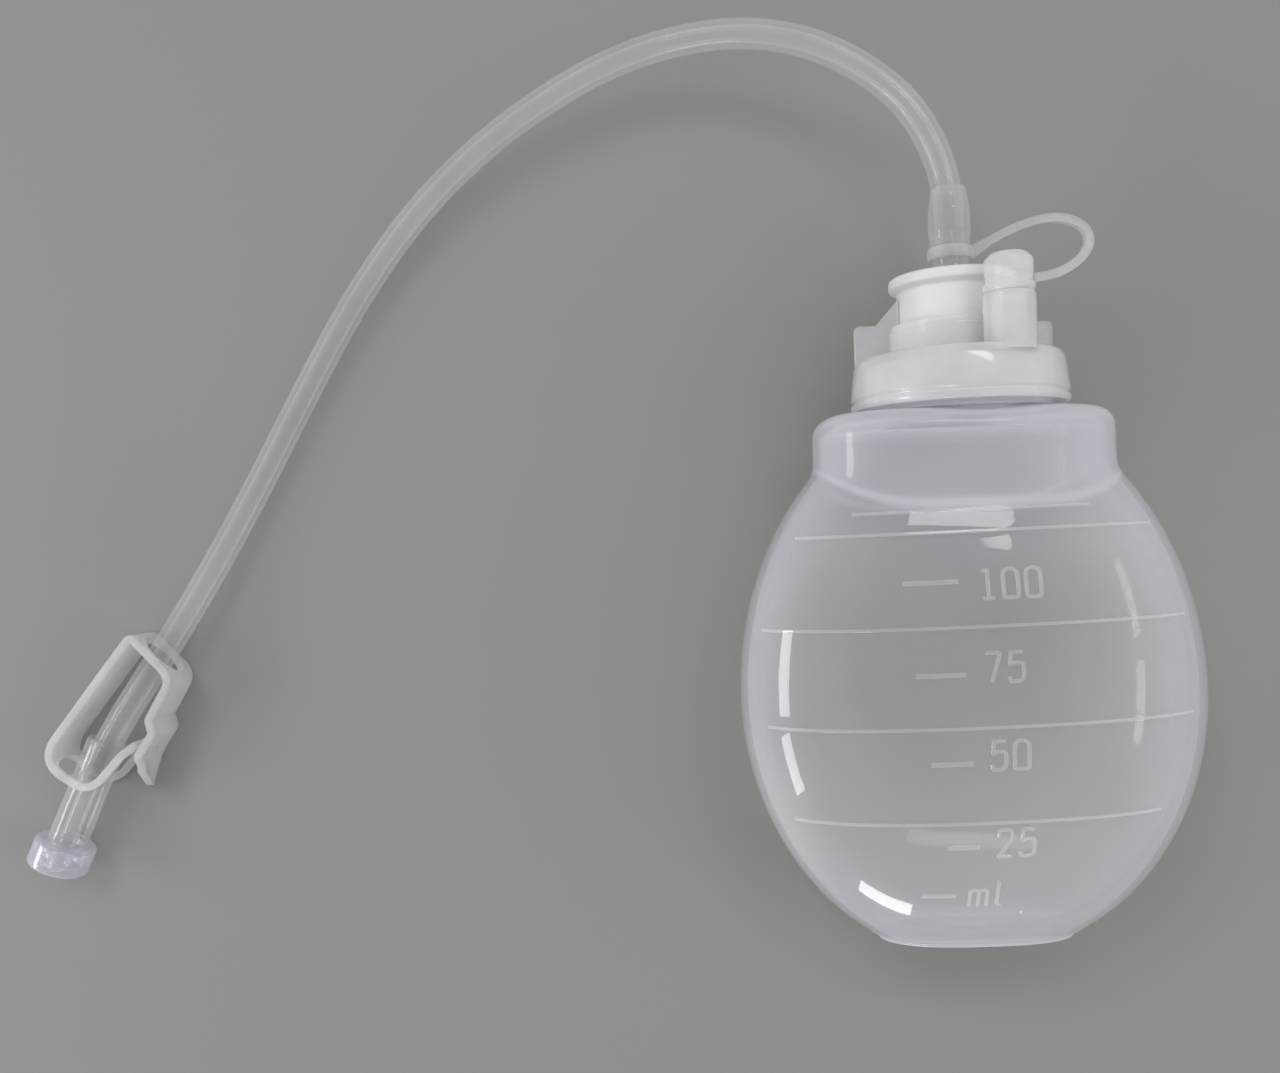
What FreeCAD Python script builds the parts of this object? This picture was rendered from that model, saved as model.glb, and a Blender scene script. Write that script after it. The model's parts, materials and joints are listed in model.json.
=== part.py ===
"""Closed wound drainage system: squeeze bulb, capped neck, drain tube, pinch clamp and connector.

The set lies on its back on a table. +Y runs along the bulb's axis towards the neck, +Z is up and
+X is to the right. Heights along the bulb's axis are measured from its flat base; the origin lies
halfway between that base and the top of the connector sleeve, on the table.
"""
import FreeCAD, Part
import Sketcher
import math
import os

V = FreeCAD.Vector
DOC = FreeCAD.newDocument("wound_drainage")
SHEET = DOC.addObject("Spreadsheet::Sheet", "Sheet")

# Points round an oval, sections in each half of the body's loft, and the part of its shorter run
# that an arc takes up
OVAL_POINTS = 48
LOFT_STEPS = 6
ARC_SHARE = 0.45
# The ring on which a sketch's corners are first drawn, before its constraints move them
START_ACROSS = 30
START_RADIUS = 9

# Driving dimensions, in millimetres, degrees where the name ends in _deg
SIZES = [
    # Bulb body
    ("bulb_half_width", 37.6), ("bulb_half_thick", 20.0), ("widest_height", 40.3),
    ("base_beyond", 3.7), ("base_beyond_thick", 2.0), ("top_beyond", 2.0),
    ("body_power", 2.5), ("bulb_wall", 1.3), ("body_tuck", 6.3),
    # Shoulder block and neck
    ("block_half_width", 24.0), ("block_half_thick", 16.0), ("block_power", 4.0),
    ("block_drop", 20.3), ("shoulder_height", 86.3), ("block_round", 3.2),
    ("neck_radius", 15.2), ("neck_wall", 1.6), ("neck_length", 7.5),
    # Raised lines and volume ticks
    ("line_width", 0.7), ("line_raise", 0.35), ("line_inset", 3.0), ("line_slope_deg", 0.9),
    ("line_height_1", 23.0), ("line_height_2", 37.6), ("line_height_3", 52.6),
    ("line_drop_4", 19.4), ("line_drop_5", 16.1), ("short_line_half", 18.0), ("line_root", 3.0),
    ("tick_height_1", 19.2), ("tick_height_2", 32.3), ("tick_height_3", 45.6),
    ("tick_height_4", 59.4), ("tick_left_1", 8.7), ("tick_left_2", 11.3), ("tick_left_3", 13.2),
    ("tick_left_4", 14.4), ("tick_length_1", 4.9), ("tick_length_2", 6.1), ("tick_length_3", 7.3),
    ("tick_length_4", 8.2),
    # Cap on the neck
    ("cap_radius", 17.6), ("cap_lift", 0.8), ("cap_draft", 0.7), ("cap_plate", 1.8),
    ("cap_round", 3.0), ("cap_fit", 0.1), ("boss_wall", 1.35), ("boss_rise", 5.7),
    ("wing_half", 16.6), ("wing_thick", 1.6), ("wing_rise", 6.0), ("gusset_out", 13.0),
    ("gusset_rise", 3.9), ("inlet_drop", 2.0),
    # Outlet port and its plug
    ("port_radius", 4.0), ("port_bore", 2.7), ("port_rise", 7.8), ("port_right", 4.6),
    ("port_forward", 13.0), ("plug_fit", 0.06), ("plug_shank", 7.0), ("plug_collar", 1.2),
    ("plug_collar_radius", 3.95), ("plug_head", 4.0), ("plug_head_radius", 3.7),
    ("plug_dome", 1.1), ("plug_bore", 1.6),
    # Inlet stopper, its valve, nipple and sleeve
    ("stopper_radius", 9.3), ("stopper_fit", 0.04), ("stopper_below", 1.6),
    ("stopper_showing", 6.4), ("flange_radius", 10.3), ("flange_thick", 1.6),
    ("pocket_radius", 5.0), ("pocket_depth", 5.0), ("valve_flange", 1.2), ("valve_radius", 3.4),
    ("valve_wall", 0.8), ("valve_length", 4.6), ("valve_tip", 1.2), ("valve_slit", 0.3),
    ("nipple_radius", 2.2), ("nipple_shoulder", 3.0), ("nipple_bore", 1.4),
    ("nipple_showing", 3.0), ("nipple_stem", 2.6), ("stem_fit", 0.05), ("sleeve_radius", 3.5),
    ("sleeve_length", 9.9), ("sleeve_taper", 2.6), ("sleeve_lip", 0.6),
    ("sleeve_relief", 0.3), ("sleeve_relief_depth", 3.4),
    # Tether
    ("tether_ring_wall", 0.85), ("tether_ring_height", 2.1), ("tether_fit", 0.02),
    ("strap_radius", 0.75), ("strap_gap", 0.3), ("strap_below_head", 1.0),
    # Drain tube
    ("tube_radius", 2.5), ("tube_in_sleeve", 7.0), ("tube_in_hub", 8.0), ("tube_bend_in", 0.3),
    # Pinch clamp: distances out from the tube's axis and along it from the clamp's top
    ("clamp_above_mouth", 20.6), ("clamp_width", 9.4), ("clamp_thick", 1.35),
    ("clamp_roll_deg", 1.5), ("spine_out_top", 5.2), ("spine_out_low", 6.9), ("end_wall_at", 1.4),
    ("end_wall_drop", 2.2), ("end_wall_round", 0.9), ("latch_out", 4.9), ("latch_round", 3.2),
    ("latch_lean", 0.7), ("step_at", 11.9), ("step_out", 1.8), ("step_length", 1.6),
    ("step_round", 0.8), ("guide_at", 18.6), ("guide_lean", 0.1), ("guide_round", 4.0),
    ("flare_at", 22.6), ("flare_out", 2.0), ("clamp_hole", 3.5), ("bend_at", 28.4),
    ("bend_round", 4.4), ("hinge_out", 1.8), ("hinge_gap", 0.08), ("arm_root_out", 3.0),
    ("arm_root_round", 3.8), ("arm_mid_at", 19.8), ("arm_mid_out", 4.5), ("arm_mid_round", 2.0),
    ("arm_tip_at", 16.8), ("arm_tip_out", 5.7), ("slot_half", 3.85), ("slot_start", 20.2),
    # Connector hub and lock collar
    ("hub_radius", 3.45), ("hub_length", 19.3), ("hub_socket", 8.0), ("hub_bore", 1.5),
    ("hub_mouth", 0.2), ("hub_mouth_depth", 3.2), ("nose_radius", 2.0), ("nose_length", 5.2),
    ("nose_shoulder", 0.9), ("collar_radius", 5.3), ("collar_length", 4.9), ("collar_wall", 1.1),
    ("collar_back", 1.0), ("collar_fit", 0.06), ("collar_play", 0.15), ("groove_depth", 0.75),
]

# The free tube's corners in plan and height, from the first bend past the sleeve to the last
# bend before the hub; the ends are worked out from the sleeve and the hub
TUBE_CORNERS = [
    (-2.0, 69.0, 18.2), (-5.8, 75.8, 18.5), (-11.2, 81.2, 18.3), (-17.9, 85.8, 17.7),
    (-25.6, 89.2, 16.6), (-34.0, 91.0, 15.1), (-42.9, 91.0, 13.4), (-52.4, 89.4, 11.5),
    (-62.9, 85.8, 9.4), (-78.0, 77.4, 6.7), (-92.2, 65.3, 4.4), (-104.2, 49.7, 3.2),
    (-114.4, 32.0, 2.7), (-123.7, 14.8, 2.8), (-132.3, -0.5, 3.8), (-141.4, -15.1, 5.03),
]
# Where the tube enters the hub, and the point that the hub's axis heads for
HUB_MOUTH = (-150.4, -28.3, 5.08)
HUB_HEADING = (-160.1, -50.5, 5.38)

# The tether strap's corners: across, height above the bulb's base, height above the table
STRAP_CORNERS = [
    (6.7, 115.4, 19.5), (11.0, 117.1, 21.6), (14.6, 117.5, 23.6), (17.5, 116.6, 25.4),
    (19.2, 114.4, 27.4), (18.9, 111.6, 29.2), (16.8, 108.9, 30.8), (13.7, 106.9, 32.0),
    (10.9, 105.9, 32.8),
]


def fill_sheet():
    """Write the driving dimensions into the sheet, one alias to a row."""
    for row, (alias, value) in enumerate(SIZES, start=1):
        SHEET.set("A%d" % row, alias)
        SHEET.set("B%d" % row, str(value))
        SHEET.setAlias("B%d" % row, alias)
    DOC.recompute()


def size(alias):
    """A driving dimension as the sheet holds it now."""
    return float(getattr(SHEET, alias))


def total(*aliases):
    """The expression that adds up dimensions of the sheet; a minus sign subtracts one."""
    text = ""
    for alias in aliases:
        sign, word = ("-", alias[1:]) if alias.startswith("-") else ("+", alias)
        text += " %s %s" % (sign, "Sheet." + word if word[0].isalpha() else word)
    return text.strip().lstrip("+").strip()


def total_size(*aliases):
    """The same sum as total(), worked out from the sheet."""
    result = 0.0
    for alias in aliases:
        sign, word = (-1.0, alias[1:]) if alias.startswith("-") else (1.0, alias)
        result += sign * (size(word) if word[0].isalpha() else float(word))
    return result


# Heights above the base, each a chain of dimensions
NECK_TOP = ("shoulder_height", "neck_length")
CAP_BOTTOM = ("shoulder_height", "cap_lift")
CAP_TOP = NECK_TOP + ("cap_plate",)
BOSS_TOP = CAP_TOP + ("boss_rise",)
STOPPER_BOTTOM = CAP_TOP + ("-stopper_below",)
FLANGE_BOTTOM = BOSS_TOP + ("stopper_showing",)
FLANGE_TOP = FLANGE_BOTTOM + ("flange_thick",)
POCKET_TOP = STOPPER_BOTTOM + ("pocket_depth",)
RING_BOTTOM = FLANGE_TOP + ("nipple_showing",)
SLEEVE_BOTTOM = RING_BOTTOM + ("tether_ring_height",)
SLEEVE_TOP = SLEEVE_BOTTOM + ("sleeve_length",)
PORT_TOP = CAP_TOP + ("port_rise",)
HEAD_BOTTOM = PORT_TOP + ("plug_collar",)
HEAD_TOP = HEAD_BOTTOM + ("plug_head", "plug_dome")


def half_stack():
    """The expression for half the height from the bulb's base to the sleeve's top."""
    return "(%s) / 2" % total(*SLEEVE_TOP)


def recompute():
    """Recompute the document and stop if any object failed."""
    DOC.recompute()
    for item in DOC.Objects:
        if "Invalid" in item.State or "Error" in item.State:
            raise RuntimeError("%s failed: %s" % (item.Label, item.State))


def bind(item, **expressions):
    """Bind properties of an object to the sheet; a double underscore stands for a dot."""
    for path, expression in expressions.items():
        item.setExpression(path.replace("__", "."), expression)
    return item


def place(item, across="0 mm", up="Sheet.bulb_half_thick * 1 mm", rise=None, turn=None):
    """Set an object on an axis along +Y: across, height above the table and rise above the base."""
    item.Placement = FreeCAD.Placement(V(), turn or FreeCAD.Rotation())
    along = "-(%s) * 1 mm" % half_stack()
    if rise:
        along = "((%s) - (%s)) * 1 mm" % (rise, half_stack())
    item.setExpression("Placement.Base.x", across)
    item.setExpression("Placement.Base.y", along)
    item.setExpression("Placement.Base.z", up)
    return item


INLET_UP = "(Sheet.bulb_half_thick - Sheet.inlet_drop) * 1 mm"
PORT_ACROSS = "Sheet.port_right * 1 mm"
PORT_UP = "(Sheet.bulb_half_thick + Sheet.port_forward) * 1 mm"
ALONG_Y = FreeCAD.Rotation(V(1, 0, 0), -90)


def origin_plane(body, role):
    """One of a body's own origin planes, by its role."""
    return next(item for item in body.Origin.OriginFeatures if item.Role == role)


def closed_outline(sketch, corners):
    """Draw a closed outline whose corners the sheet drives, each across and along from the origin."""
    count = len(corners)
    turns = [2 * math.pi * i / count for i in range(count)]
    spread = [V(START_ACROSS + START_RADIUS * math.cos(turn), START_RADIUS * math.sin(turn), 0)
              for turn in turns]
    for i in range(count):
        sketch.addGeometry(Part.LineSegment(spread[i], spread[(i + 1) % count]), False)
    for i in range(count):
        sketch.addConstraint(Sketcher.Constraint("Coincident", i, 2, (i + 1) % count, 1))
    for i, (across, along) in enumerate(corners):
        for kind, value, now in (("DistanceX", across, spread[i].x), ("DistanceY", along, spread[i].y)):
            index = sketch.addConstraint(Sketcher.Constraint(kind, -1, 1, i, 1, now))
            name = "%s%d" % (kind, i)
            sketch.renameConstraint(index, name)
            sketch.setExpression("Constraints." + name, value)


def outline_body(label, corners):
    """A body with one closed sketch on its XY plane."""
    body = DOC.addObject("PartDesign::Body", label)
    sketch = body.newObject("Sketcher::SketchObject", label + "_outline")
    sketch.AttachmentSupport = [(origin_plane(body, "XY_Plane"), "")]
    sketch.MapMode = "FlatFace"
    closed_outline(sketch, corners)
    return body, sketch


def lathe(label, corners):
    """A body turned about its own Y axis from corners of (radius, height) expressions."""
    body, sketch = outline_body(label, corners)
    turned = body.newObject("PartDesign::Revolution", label + "_turned")
    turned.Profile = sketch
    turned.ReferenceAxis = (sketch, ["V_Axis"])
    turned.Angle = 360
    sketch.Visibility = False
    recompute()
    return body


def round_edges(body, rounds):
    """Fillet circular edges of a turned body, each named by its height, radius and fillet alias."""
    for i, (height, radius, alias) in enumerate(rounds):
        tip = body.Tip
        names = ["Edge%d" % (n + 1) for n, edge in enumerate(tip.Shape.Edges)
                 if hasattr(edge.Curve, "Radius") and abs(edge.Curve.Radius - radius) < 1e-4
                 and abs(edge.Curve.Center.y - height) < 1e-4]
        fillet = body.newObject("PartDesign::Fillet", "%s_round_%d" % (body.Label, i))
        fillet.Base = (tip, names)
        fillet.setExpression("Radius", "Sheet.%s" % alias)
        recompute()
    return body


def rod(label, radius, length, across, up, rise):
    """A Part cylinder along +Y whose sizes and place are expressions."""
    item = DOC.addObject("Part::Cylinder", label)
    bind(item, Radius=radius, Height=length)
    return place(item, across, up, rise, ALONG_Y)


def joined(label, pieces):
    """The fusion of several objects."""
    item = DOC.addObject("Part::MultiFuse", label)
    item.Shapes = pieces
    return item


def cut(label, base, tools):
    """A base less several tools."""
    item = DOC.addObject("Part::Cut", label)
    item.Base = base
    item.Tool = tools[0] if len(tools) == 1 else joined(label + "_tools", tools)
    return item


def feature(label, shape):
    """A Part feature that holds a shape worked out from the sheet."""
    item = DOC.addObject("Part::Feature", label)
    item.Shape = shape
    return item


# Bulb

def oval(half_x, half_z, power, y, z):
    """A closed superellipse |x/a|^n + |z/b|^n = 1 in the plane of one height y."""
    points = []
    for i in range(OVAL_POINTS):
        angle = 2 * math.pi * (i + 0.5) / OVAL_POINTS
        cosine, sine = math.cos(angle), math.sin(angle)
        x = half_x * math.copysign(abs(cosine) ** (2 / power), cosine)
        height = half_z * math.copysign(abs(sine) ** (2 / power), sine)
        points.append(V(x, y, z + height))
    curve = Part.BSplineCurve()
    curve.interpolate(points, PeriodicFlag=True)
    return Part.Wire([curve.toShape()])


def body_half_sizes(height, grow):
    """Half width and half thickness of the bulb's body: two ellipses that meet at the widest line."""
    rise = height - size("widest_height")
    if rise > 0:
        span_x = span_z = total_size("shoulder_height", "top_beyond", "-widest_height")
    else:
        span_x = total_size("widest_height", "base_beyond")
        span_z = total_size("widest_height", "base_beyond_thick")
    return (size("bulb_half_width") * math.sqrt(1 - (rise / span_x) ** 2) + grow,
            size("bulb_half_thick") * math.sqrt(1 - (rise / span_z) ** 2) + grow)


def body_loft(bottom, top, grow):
    """The bulb's body between two heights, grown or shrunk all round."""
    middle = size("widest_height")
    heights = [middle - (middle - bottom) * math.sin(0.5 * math.pi * (1 - i / LOFT_STEPS))
               for i in range(LOFT_STEPS)]
    heights += [middle + (top - middle) * math.sin(0.5 * math.pi * i / LOFT_STEPS)
                for i in range(LOFT_STEPS + 1)]
    base = total_size(*SLEEVE_TOP) / 2
    wires = [oval(*body_half_sizes(h, grow), size("body_power"), h - base, size("bulb_half_thick"))
             for h in heights]
    return Part.makeLoft(wires, True, False)


def block_solid(bottom, top, grow, rounding):
    """The squared shoulder block, with its upper edge rounded."""
    base = total_size(*SLEEVE_TOP) / 2
    wire = oval(size("block_half_width") + grow, size("block_half_thick") + grow,
                size("block_power"), bottom - base, size("bulb_half_thick"))
    solid = Part.Face(wire).extrude(V(0, top - bottom, 0))
    edges = [edge for edge in solid.Edges if edge.BoundBox.YMin > top - base - 1e-4]
    return solid.makeFillet(rounding, edges)


def neck_rod(radius, bottom, top):
    """A round rod on the bulb's axis between two heights."""
    base = total_size(*SLEEVE_TOP) / 2
    return Part.makeCylinder(radius, top - bottom, V(0, bottom - base, size("bulb_half_thick")), V(0, 1, 0))


def raised_bar(left, right, height):
    """A bar across the bulb's front, to be trimmed to the grown skin."""
    base = total_size(*SLEEVE_TOP) / 2
    width = size("line_width")
    bar = Part.makeBox(right - left, width, size("bulb_half_thick"),
                       V(left, height - base - width / 2, total_size("bulb_half_thick", "line_root")))
    bar.rotate(V(0, height - base, 0), V(0, 0, 1), size("line_slope_deg"))
    return bar


def make_bulb():
    """The hollow bulb with its shoulder block, neck, raised lines and ticks."""
    wall = size("bulb_wall")
    body_top = size("shoulder_height") - size("body_tuck")
    block_bottom = size("shoulder_height") - size("block_drop")
    shoulder = size("shoulder_height")
    outer = body_loft(0, body_top, 0)
    grown = body_loft(0, body_top, size("line_raise"))
    bars = []
    for height in [size("line_height_%d" % i) for i in (1, 2, 3)] + [shoulder - size("line_drop_4")]:
        half = body_half_sizes(height, 0)[0] - size("line_inset")
        bars.append(raised_bar(-half, half, height))
    bars.append(raised_bar(-size("short_line_half"), size("short_line_half"),
                           shoulder - size("line_drop_5")))
    for i in (1, 2, 3, 4):
        left = -size("tick_left_%d" % i)
        bars.append(raised_bar(left, left + size("tick_length_%d" % i), size("tick_height_%d" % i)))
    raised = [bar.common(grown) for bar in bars]
    solid = outer.fuse([block_solid(block_bottom, shoulder, 0, size("block_round")),
                        neck_rod(size("neck_radius"), shoulder - wall, total_size(*NECK_TOP))] + raised)
    inside = body_loft(wall, body_top - wall, -wall)
    block_inside = block_solid(block_bottom, shoulder - wall, -wall, size("block_round") - wall / 2)
    bore = neck_rod(size("neck_radius") - size("neck_wall"), shoulder - 2 * wall, total_size(*NECK_TOP))
    return feature("bulb", solid.cut([inside, block_inside, bore]))


# Cap

def make_cap():
    """Skirt ring, top plate, stopper boss, outlet port and the two wings, in one moulding."""
    draft = total("cap_radius", "-cap_draft")
    ring = lathe("cap_ring", [("0", total(*CAP_BOTTOM)), (total("cap_radius"), total(*CAP_BOTTOM)),
                              (draft, total(*CAP_TOP)), ("0", total(*CAP_TOP))])
    round_edges(ring, [(total_size(*CAP_TOP), total_size("cap_radius", "-cap_draft"), "cap_round")])
    place(ring)
    boss = rod("cap_boss", total("stopper_radius", "stopper_fit", "boss_wall"),
               total("cap_plate", "boss_rise"), "0 mm", INLET_UP, total(*NECK_TOP))
    port = rod("cap_port", total("port_radius"), total("cap_plate", "port_rise"),
               PORT_ACROSS, PORT_UP, total(*NECK_TOP))
    wing_top = total(*(CAP_TOP + ("wing_rise",)))
    gusset_in = total("stopper_radius")
    wings, wing_sketch = outline_body("cap_wings", [
        ("-(%s)" % total("wing_half"), total(*CAP_BOTTOM)), (total("wing_half"), total(*CAP_BOTTOM)),
        (total("wing_half"), wing_top), (total("gusset_out"), wing_top),
        (gusset_in, total(*(CAP_TOP + ("wing_rise", "gusset_rise")))),
        ("-(%s)" % gusset_in, total(*(CAP_TOP + ("wing_rise", "gusset_rise")))),
        ("-(%s)" % total("gusset_out"), wing_top), ("-(%s)" % total("wing_half"), wing_top)])
    pad = wings.newObject("PartDesign::Pad", "cap_wings_pad")
    pad.Profile = wing_sketch
    bind(pad, Length=total("wing_thick"))
    place(wings, up="(Sheet.bulb_half_thick - Sheet.inlet_drop - Sheet.wing_thick / 2) * 1 mm")
    skirt_room = rod("cap_skirt_room", total("neck_radius", "cap_fit"),
                     total("neck_length", "-cap_lift"), "0 mm", "Sheet.bulb_half_thick * 1 mm",
                     total(*CAP_BOTTOM))
    stopper_room = rod("cap_stopper_room", total("stopper_radius", "stopper_fit"),
                       total("cap_plate", "boss_rise", "stopper_showing"), "0 mm", INLET_UP,
                       total(*NECK_TOP))
    port_room = rod("cap_port_room", total("port_bore"), total("cap_plate", "port_rise"),
                    PORT_ACROSS, PORT_UP, total(*NECK_TOP))
    return cut("port_cap", joined("cap_mass", [ring, boss, port, wings]),
               [skirt_room, stopper_room, port_room])


# Inlet

def make_stopper():
    """Flanged stopper with a valve pocket below and a bore for the nipple."""
    body = lathe("inlet_stopper", [
        (total("nipple_radius"), total(*POCKET_TOP)), (total("pocket_radius"), total(*POCKET_TOP)),
        (total("pocket_radius"), total(*STOPPER_BOTTOM)), (total("stopper_radius"), total(*STOPPER_BOTTOM)),
        (total("stopper_radius"), total(*FLANGE_BOTTOM)), (total("flange_radius"), total(*FLANGE_BOTTOM)),
        (total("flange_radius"), total(*FLANGE_TOP)), (total("nipple_radius"), total(*FLANGE_TOP))])
    return place(body, up=INLET_UP)


def make_valve():
    """One-way valve: a flange and a domed sleeve, split by a slit at its closed end."""
    under = POCKET_TOP + ("-valve_flange",)
    tip = under + ("-valve_length",)
    body = lathe("valve_body", [
        (total("valve_radius", "-valve_wall"), total(*POCKET_TOP)), (total("pocket_radius"), total(*POCKET_TOP)),
        (total("pocket_radius"), total(*under)), (total("valve_radius"), total(*under)),
        (total("valve_tip"), total(*tip)), ("0", total(*tip)), ("0", total(*(tip + ("valve_wall",)))),
        (total("valve_tip"), total(*(tip + ("valve_wall",)))),
        (total("valve_radius", "-valve_wall"), total(*under))])
    place(body, up=INLET_UP)
    slit = DOC.addObject("Part::Box", "valve_slit_tool")
    bind(slit, Length=total("valve_radius"), Width="2 * (%s)" % total("valve_wall"), Height=total("valve_slit"))
    place(slit, "-(Sheet.valve_radius / 2) * 1 mm",
          "(Sheet.bulb_half_thick - Sheet.inlet_drop - Sheet.valve_slit / 2) * 1 mm",
          total(*(tip + ("-valve_wall",))))
    return cut("inlet_valve", body, [slit])


def make_nipple():
    """Hollow stub: spigot in the stopper, shoulder under the tether ring, stem in the sleeve."""
    stem_top = SLEEVE_BOTTOM + ("nipple_stem",)
    body = lathe("inlet_nipple", [
        (total("nipple_bore"), total(*POCKET_TOP)), (total("nipple_radius"), total(*POCKET_TOP)),
        (total("nipple_radius"), total(*FLANGE_TOP)), (total("nipple_shoulder"), total(*FLANGE_TOP)),
        (total("nipple_shoulder"), total(*SLEEVE_BOTTOM)),
        (total("tube_radius", "-stem_fit"), total(*SLEEVE_BOTTOM)),
        (total("tube_radius", "-stem_fit"), total(*stem_top)), (total("nipple_bore"), total(*stem_top))])
    return place(body, up=INLET_UP)


def make_sleeve():
    """Soft sleeve over the nipple's stem and the tube's end, tapered at its top."""
    lip = total("tube_radius", "sleeve_lip")
    taper_start = SLEEVE_TOP + ("-sleeve_taper",)
    body = lathe("connector_sleeve", [
        (total("tube_radius"), total(*SLEEVE_BOTTOM)), (total("sleeve_radius"), total(*SLEEVE_BOTTOM)),
        (total("sleeve_radius"), total(*taper_start)), (lip, total(*SLEEVE_TOP)),
        (total("tube_radius", "sleeve_relief"), total(*SLEEVE_TOP)),
        (total("tube_radius"), total(*(SLEEVE_TOP + ("-sleeve_relief_depth",))))])
    return place(body, up=INLET_UP)


# Outlet plug and tether

def make_plug():
    """Plug: hollow shank in the port, a collar on its rim, and a head with a domed top."""
    shank = PORT_TOP + ("-plug_shank",)
    body = lathe("port_plug", [
        ("0", total(*PORT_TOP)), (total("plug_bore"), total(*PORT_TOP)), (total("plug_bore"), total(*shank)),
        (total("port_bore", "-plug_fit"), total(*shank)), (total("port_bore", "-plug_fit"), total(*PORT_TOP)),
        (total("plug_collar_radius"), total(*PORT_TOP)), (total("plug_collar_radius"), total(*HEAD_BOTTOM)),
        (total("plug_head_radius"), total(*HEAD_BOTTOM)),
        (total("plug_head_radius"), total(*(HEAD_TOP + ("-plug_dome",)))),
        (total("plug_head_radius", "-plug_dome"), total(*HEAD_TOP)), ("0", total(*HEAD_TOP))])
    return place(body, PORT_ACROSS, PORT_UP)


def rounded_path(points):
    """Straight runs joined by tangent arcs, each a share of its shorter run; also the radii."""
    points = [V(*point) for point in points]
    edges = []
    radii = []
    start = points[0]
    for before, corner, after in zip(points, points[1:], points[2:]):
        into, away = corner - before, after - corner
        reach = ARC_SHARE * min(into.Length, away.Length)
        turn = into.getAngle(away)
        radii.append(reach / math.tan(turn / 2))
        into.normalize()
        away.normalize()
        first, last = corner - into * reach, corner + away * reach
        towards = (away - into).normalize()
        middle = corner + towards * (radii[-1] / math.cos(turn / 2) - radii[-1])
        edges.append(Part.LineSegment(start, first).toShape())
        edges.append(Part.Arc(first, middle, last).toShape())
        start = last
    edges.append(Part.LineSegment(start, points[-1]).toShape())
    return Part.Wire(edges), radii


def swept_round(points, radius):
    """A round bar along a rounded path; also the path's length and radii."""
    path, radii = rounded_path(points)
    first = V(*points[1]) - V(*points[0])
    ring = Part.Wire([Part.Circle(V(*points[0]), first, radius).toShape()])
    return path.makePipeShell([ring], True, True), path.Length, radii


def make_tether():
    """Ring round the nipple and the strap from it to just short of the plug's head."""
    base = total_size(*SLEEVE_TOP) / 2
    inlet_z = size("bulb_half_thick") - size("inlet_drop")
    ring_low = total_size(*RING_BOTTOM) - base
    inner = total_size("nipple_shoulder", "tether_fit")
    outer = inner + size("tether_ring_wall")
    ring = Part.makeCylinder(outer, size("tether_ring_height"), V(0, ring_low, inlet_z), V(0, 1, 0))
    hole = Part.makeCylinder(inner, size("tether_ring_height"), V(0, ring_low, inlet_z), V(0, 1, 0))
    middle = ring_low + size("tether_ring_height") / 2
    plug_side = size("port_right") + size("plug_head_radius") + size("strap_gap")
    plug_z = size("bulb_half_thick") + size("port_forward")
    plug_y = total_size(*(HEAD_BOTTOM + ("strap_below_head",))) - base
    points = [(inner + size("tether_ring_wall") / 2, middle, inlet_z)]
    points += [(x, height - base, z) for x, height, z in STRAP_CORNERS]
    points.append((plug_side, plug_y, plug_z))
    strap = swept_round(points, size("strap_radius"))[0]
    return feature("plug_tether", ring.fuse(strap).cut(hole))


# Drain tube

def heading():
    """The hub's axis as a unit vector, from its mouth towards the collar."""
    return (V(*HUB_HEADING) - V(*HUB_MOUTH)).normalize()


def make_tube():
    """The free tube, a round bar from inside the sleeve to inside the hub."""
    base = total_size(*SLEEVE_TOP) / 2
    inlet_z = size("bulb_half_thick") - size("inlet_drop")
    tube_end = total_size(*SLEEVE_TOP) - base
    inside = V(*HUB_MOUTH) + heading() * size("tube_in_hub")
    points = [(0, tube_end - size("tube_in_sleeve"), inlet_z), (0, tube_end - size("tube_bend_in"), inlet_z)]
    points += TUBE_CORNERS + [HUB_MOUTH, tuple(inside)]
    shape, length, radii = swept_round(points, size("tube_radius"))
    print("tube length %.1f mm, radii %s" % (length, " ".join("%.0f" % r for r in radii)))
    print("tube volume %.1f, section times length %.1f" % (
        shape.Volume, math.pi * size("tube_radius") ** 2 * length))
    return feature("drain_tube", shape)


# Pinch clamp

def clamp_placement():
    """The clamp's own frame: Y up the tube, X towards the latch wall, Z across the strip."""
    up_tube = (V(*TUBE_CORNERS[-1]) - V(*HUB_MOUTH)).normalize()
    right = V(up_tube.y, -up_tube.x, 0).normalize()
    level = FreeCAD.Rotation(right, up_tube, V(0, 0, 1), "YXZ")
    roll = FreeCAD.Rotation(V(0, 1, 0), -size("clamp_roll_deg"))
    return FreeCAD.Placement(V(*HUB_MOUTH) + up_tube * size("clamp_above_mouth"), level * roll)


def strip(corners, rounds):
    """The clamp's strip along a path of (out, along) corners, each bend of its own radius."""
    points = [V(out, -along, -size("clamp_width") / 2) for out, along in corners]
    edges = []
    start = points[0]
    for before, corner, after, radius in zip(points, points[1:], points[2:], rounds):
        into, away = corner - before, after - corner
        turn = into.getAngle(away)
        into.normalize()
        away.normalize()
        reach = radius * math.tan(turn / 2)
        first, last = corner - into * reach, corner + away * reach
        middle = corner + (away - into).normalize() * (radius / math.cos(turn / 2) - radius)
        edges.append(Part.LineSegment(start, first).toShape())
        edges.append(Part.Arc(first, middle, last).toShape())
        start = last
    edges.append(Part.LineSegment(start, points[-1]).toShape())
    outline = Part.Wire(edges).makeOffset2D(size("clamp_thick") / 2, 0, False, False, False)
    return Part.Face(outline).extrude(V(0, 0, size("clamp_width")))


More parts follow.
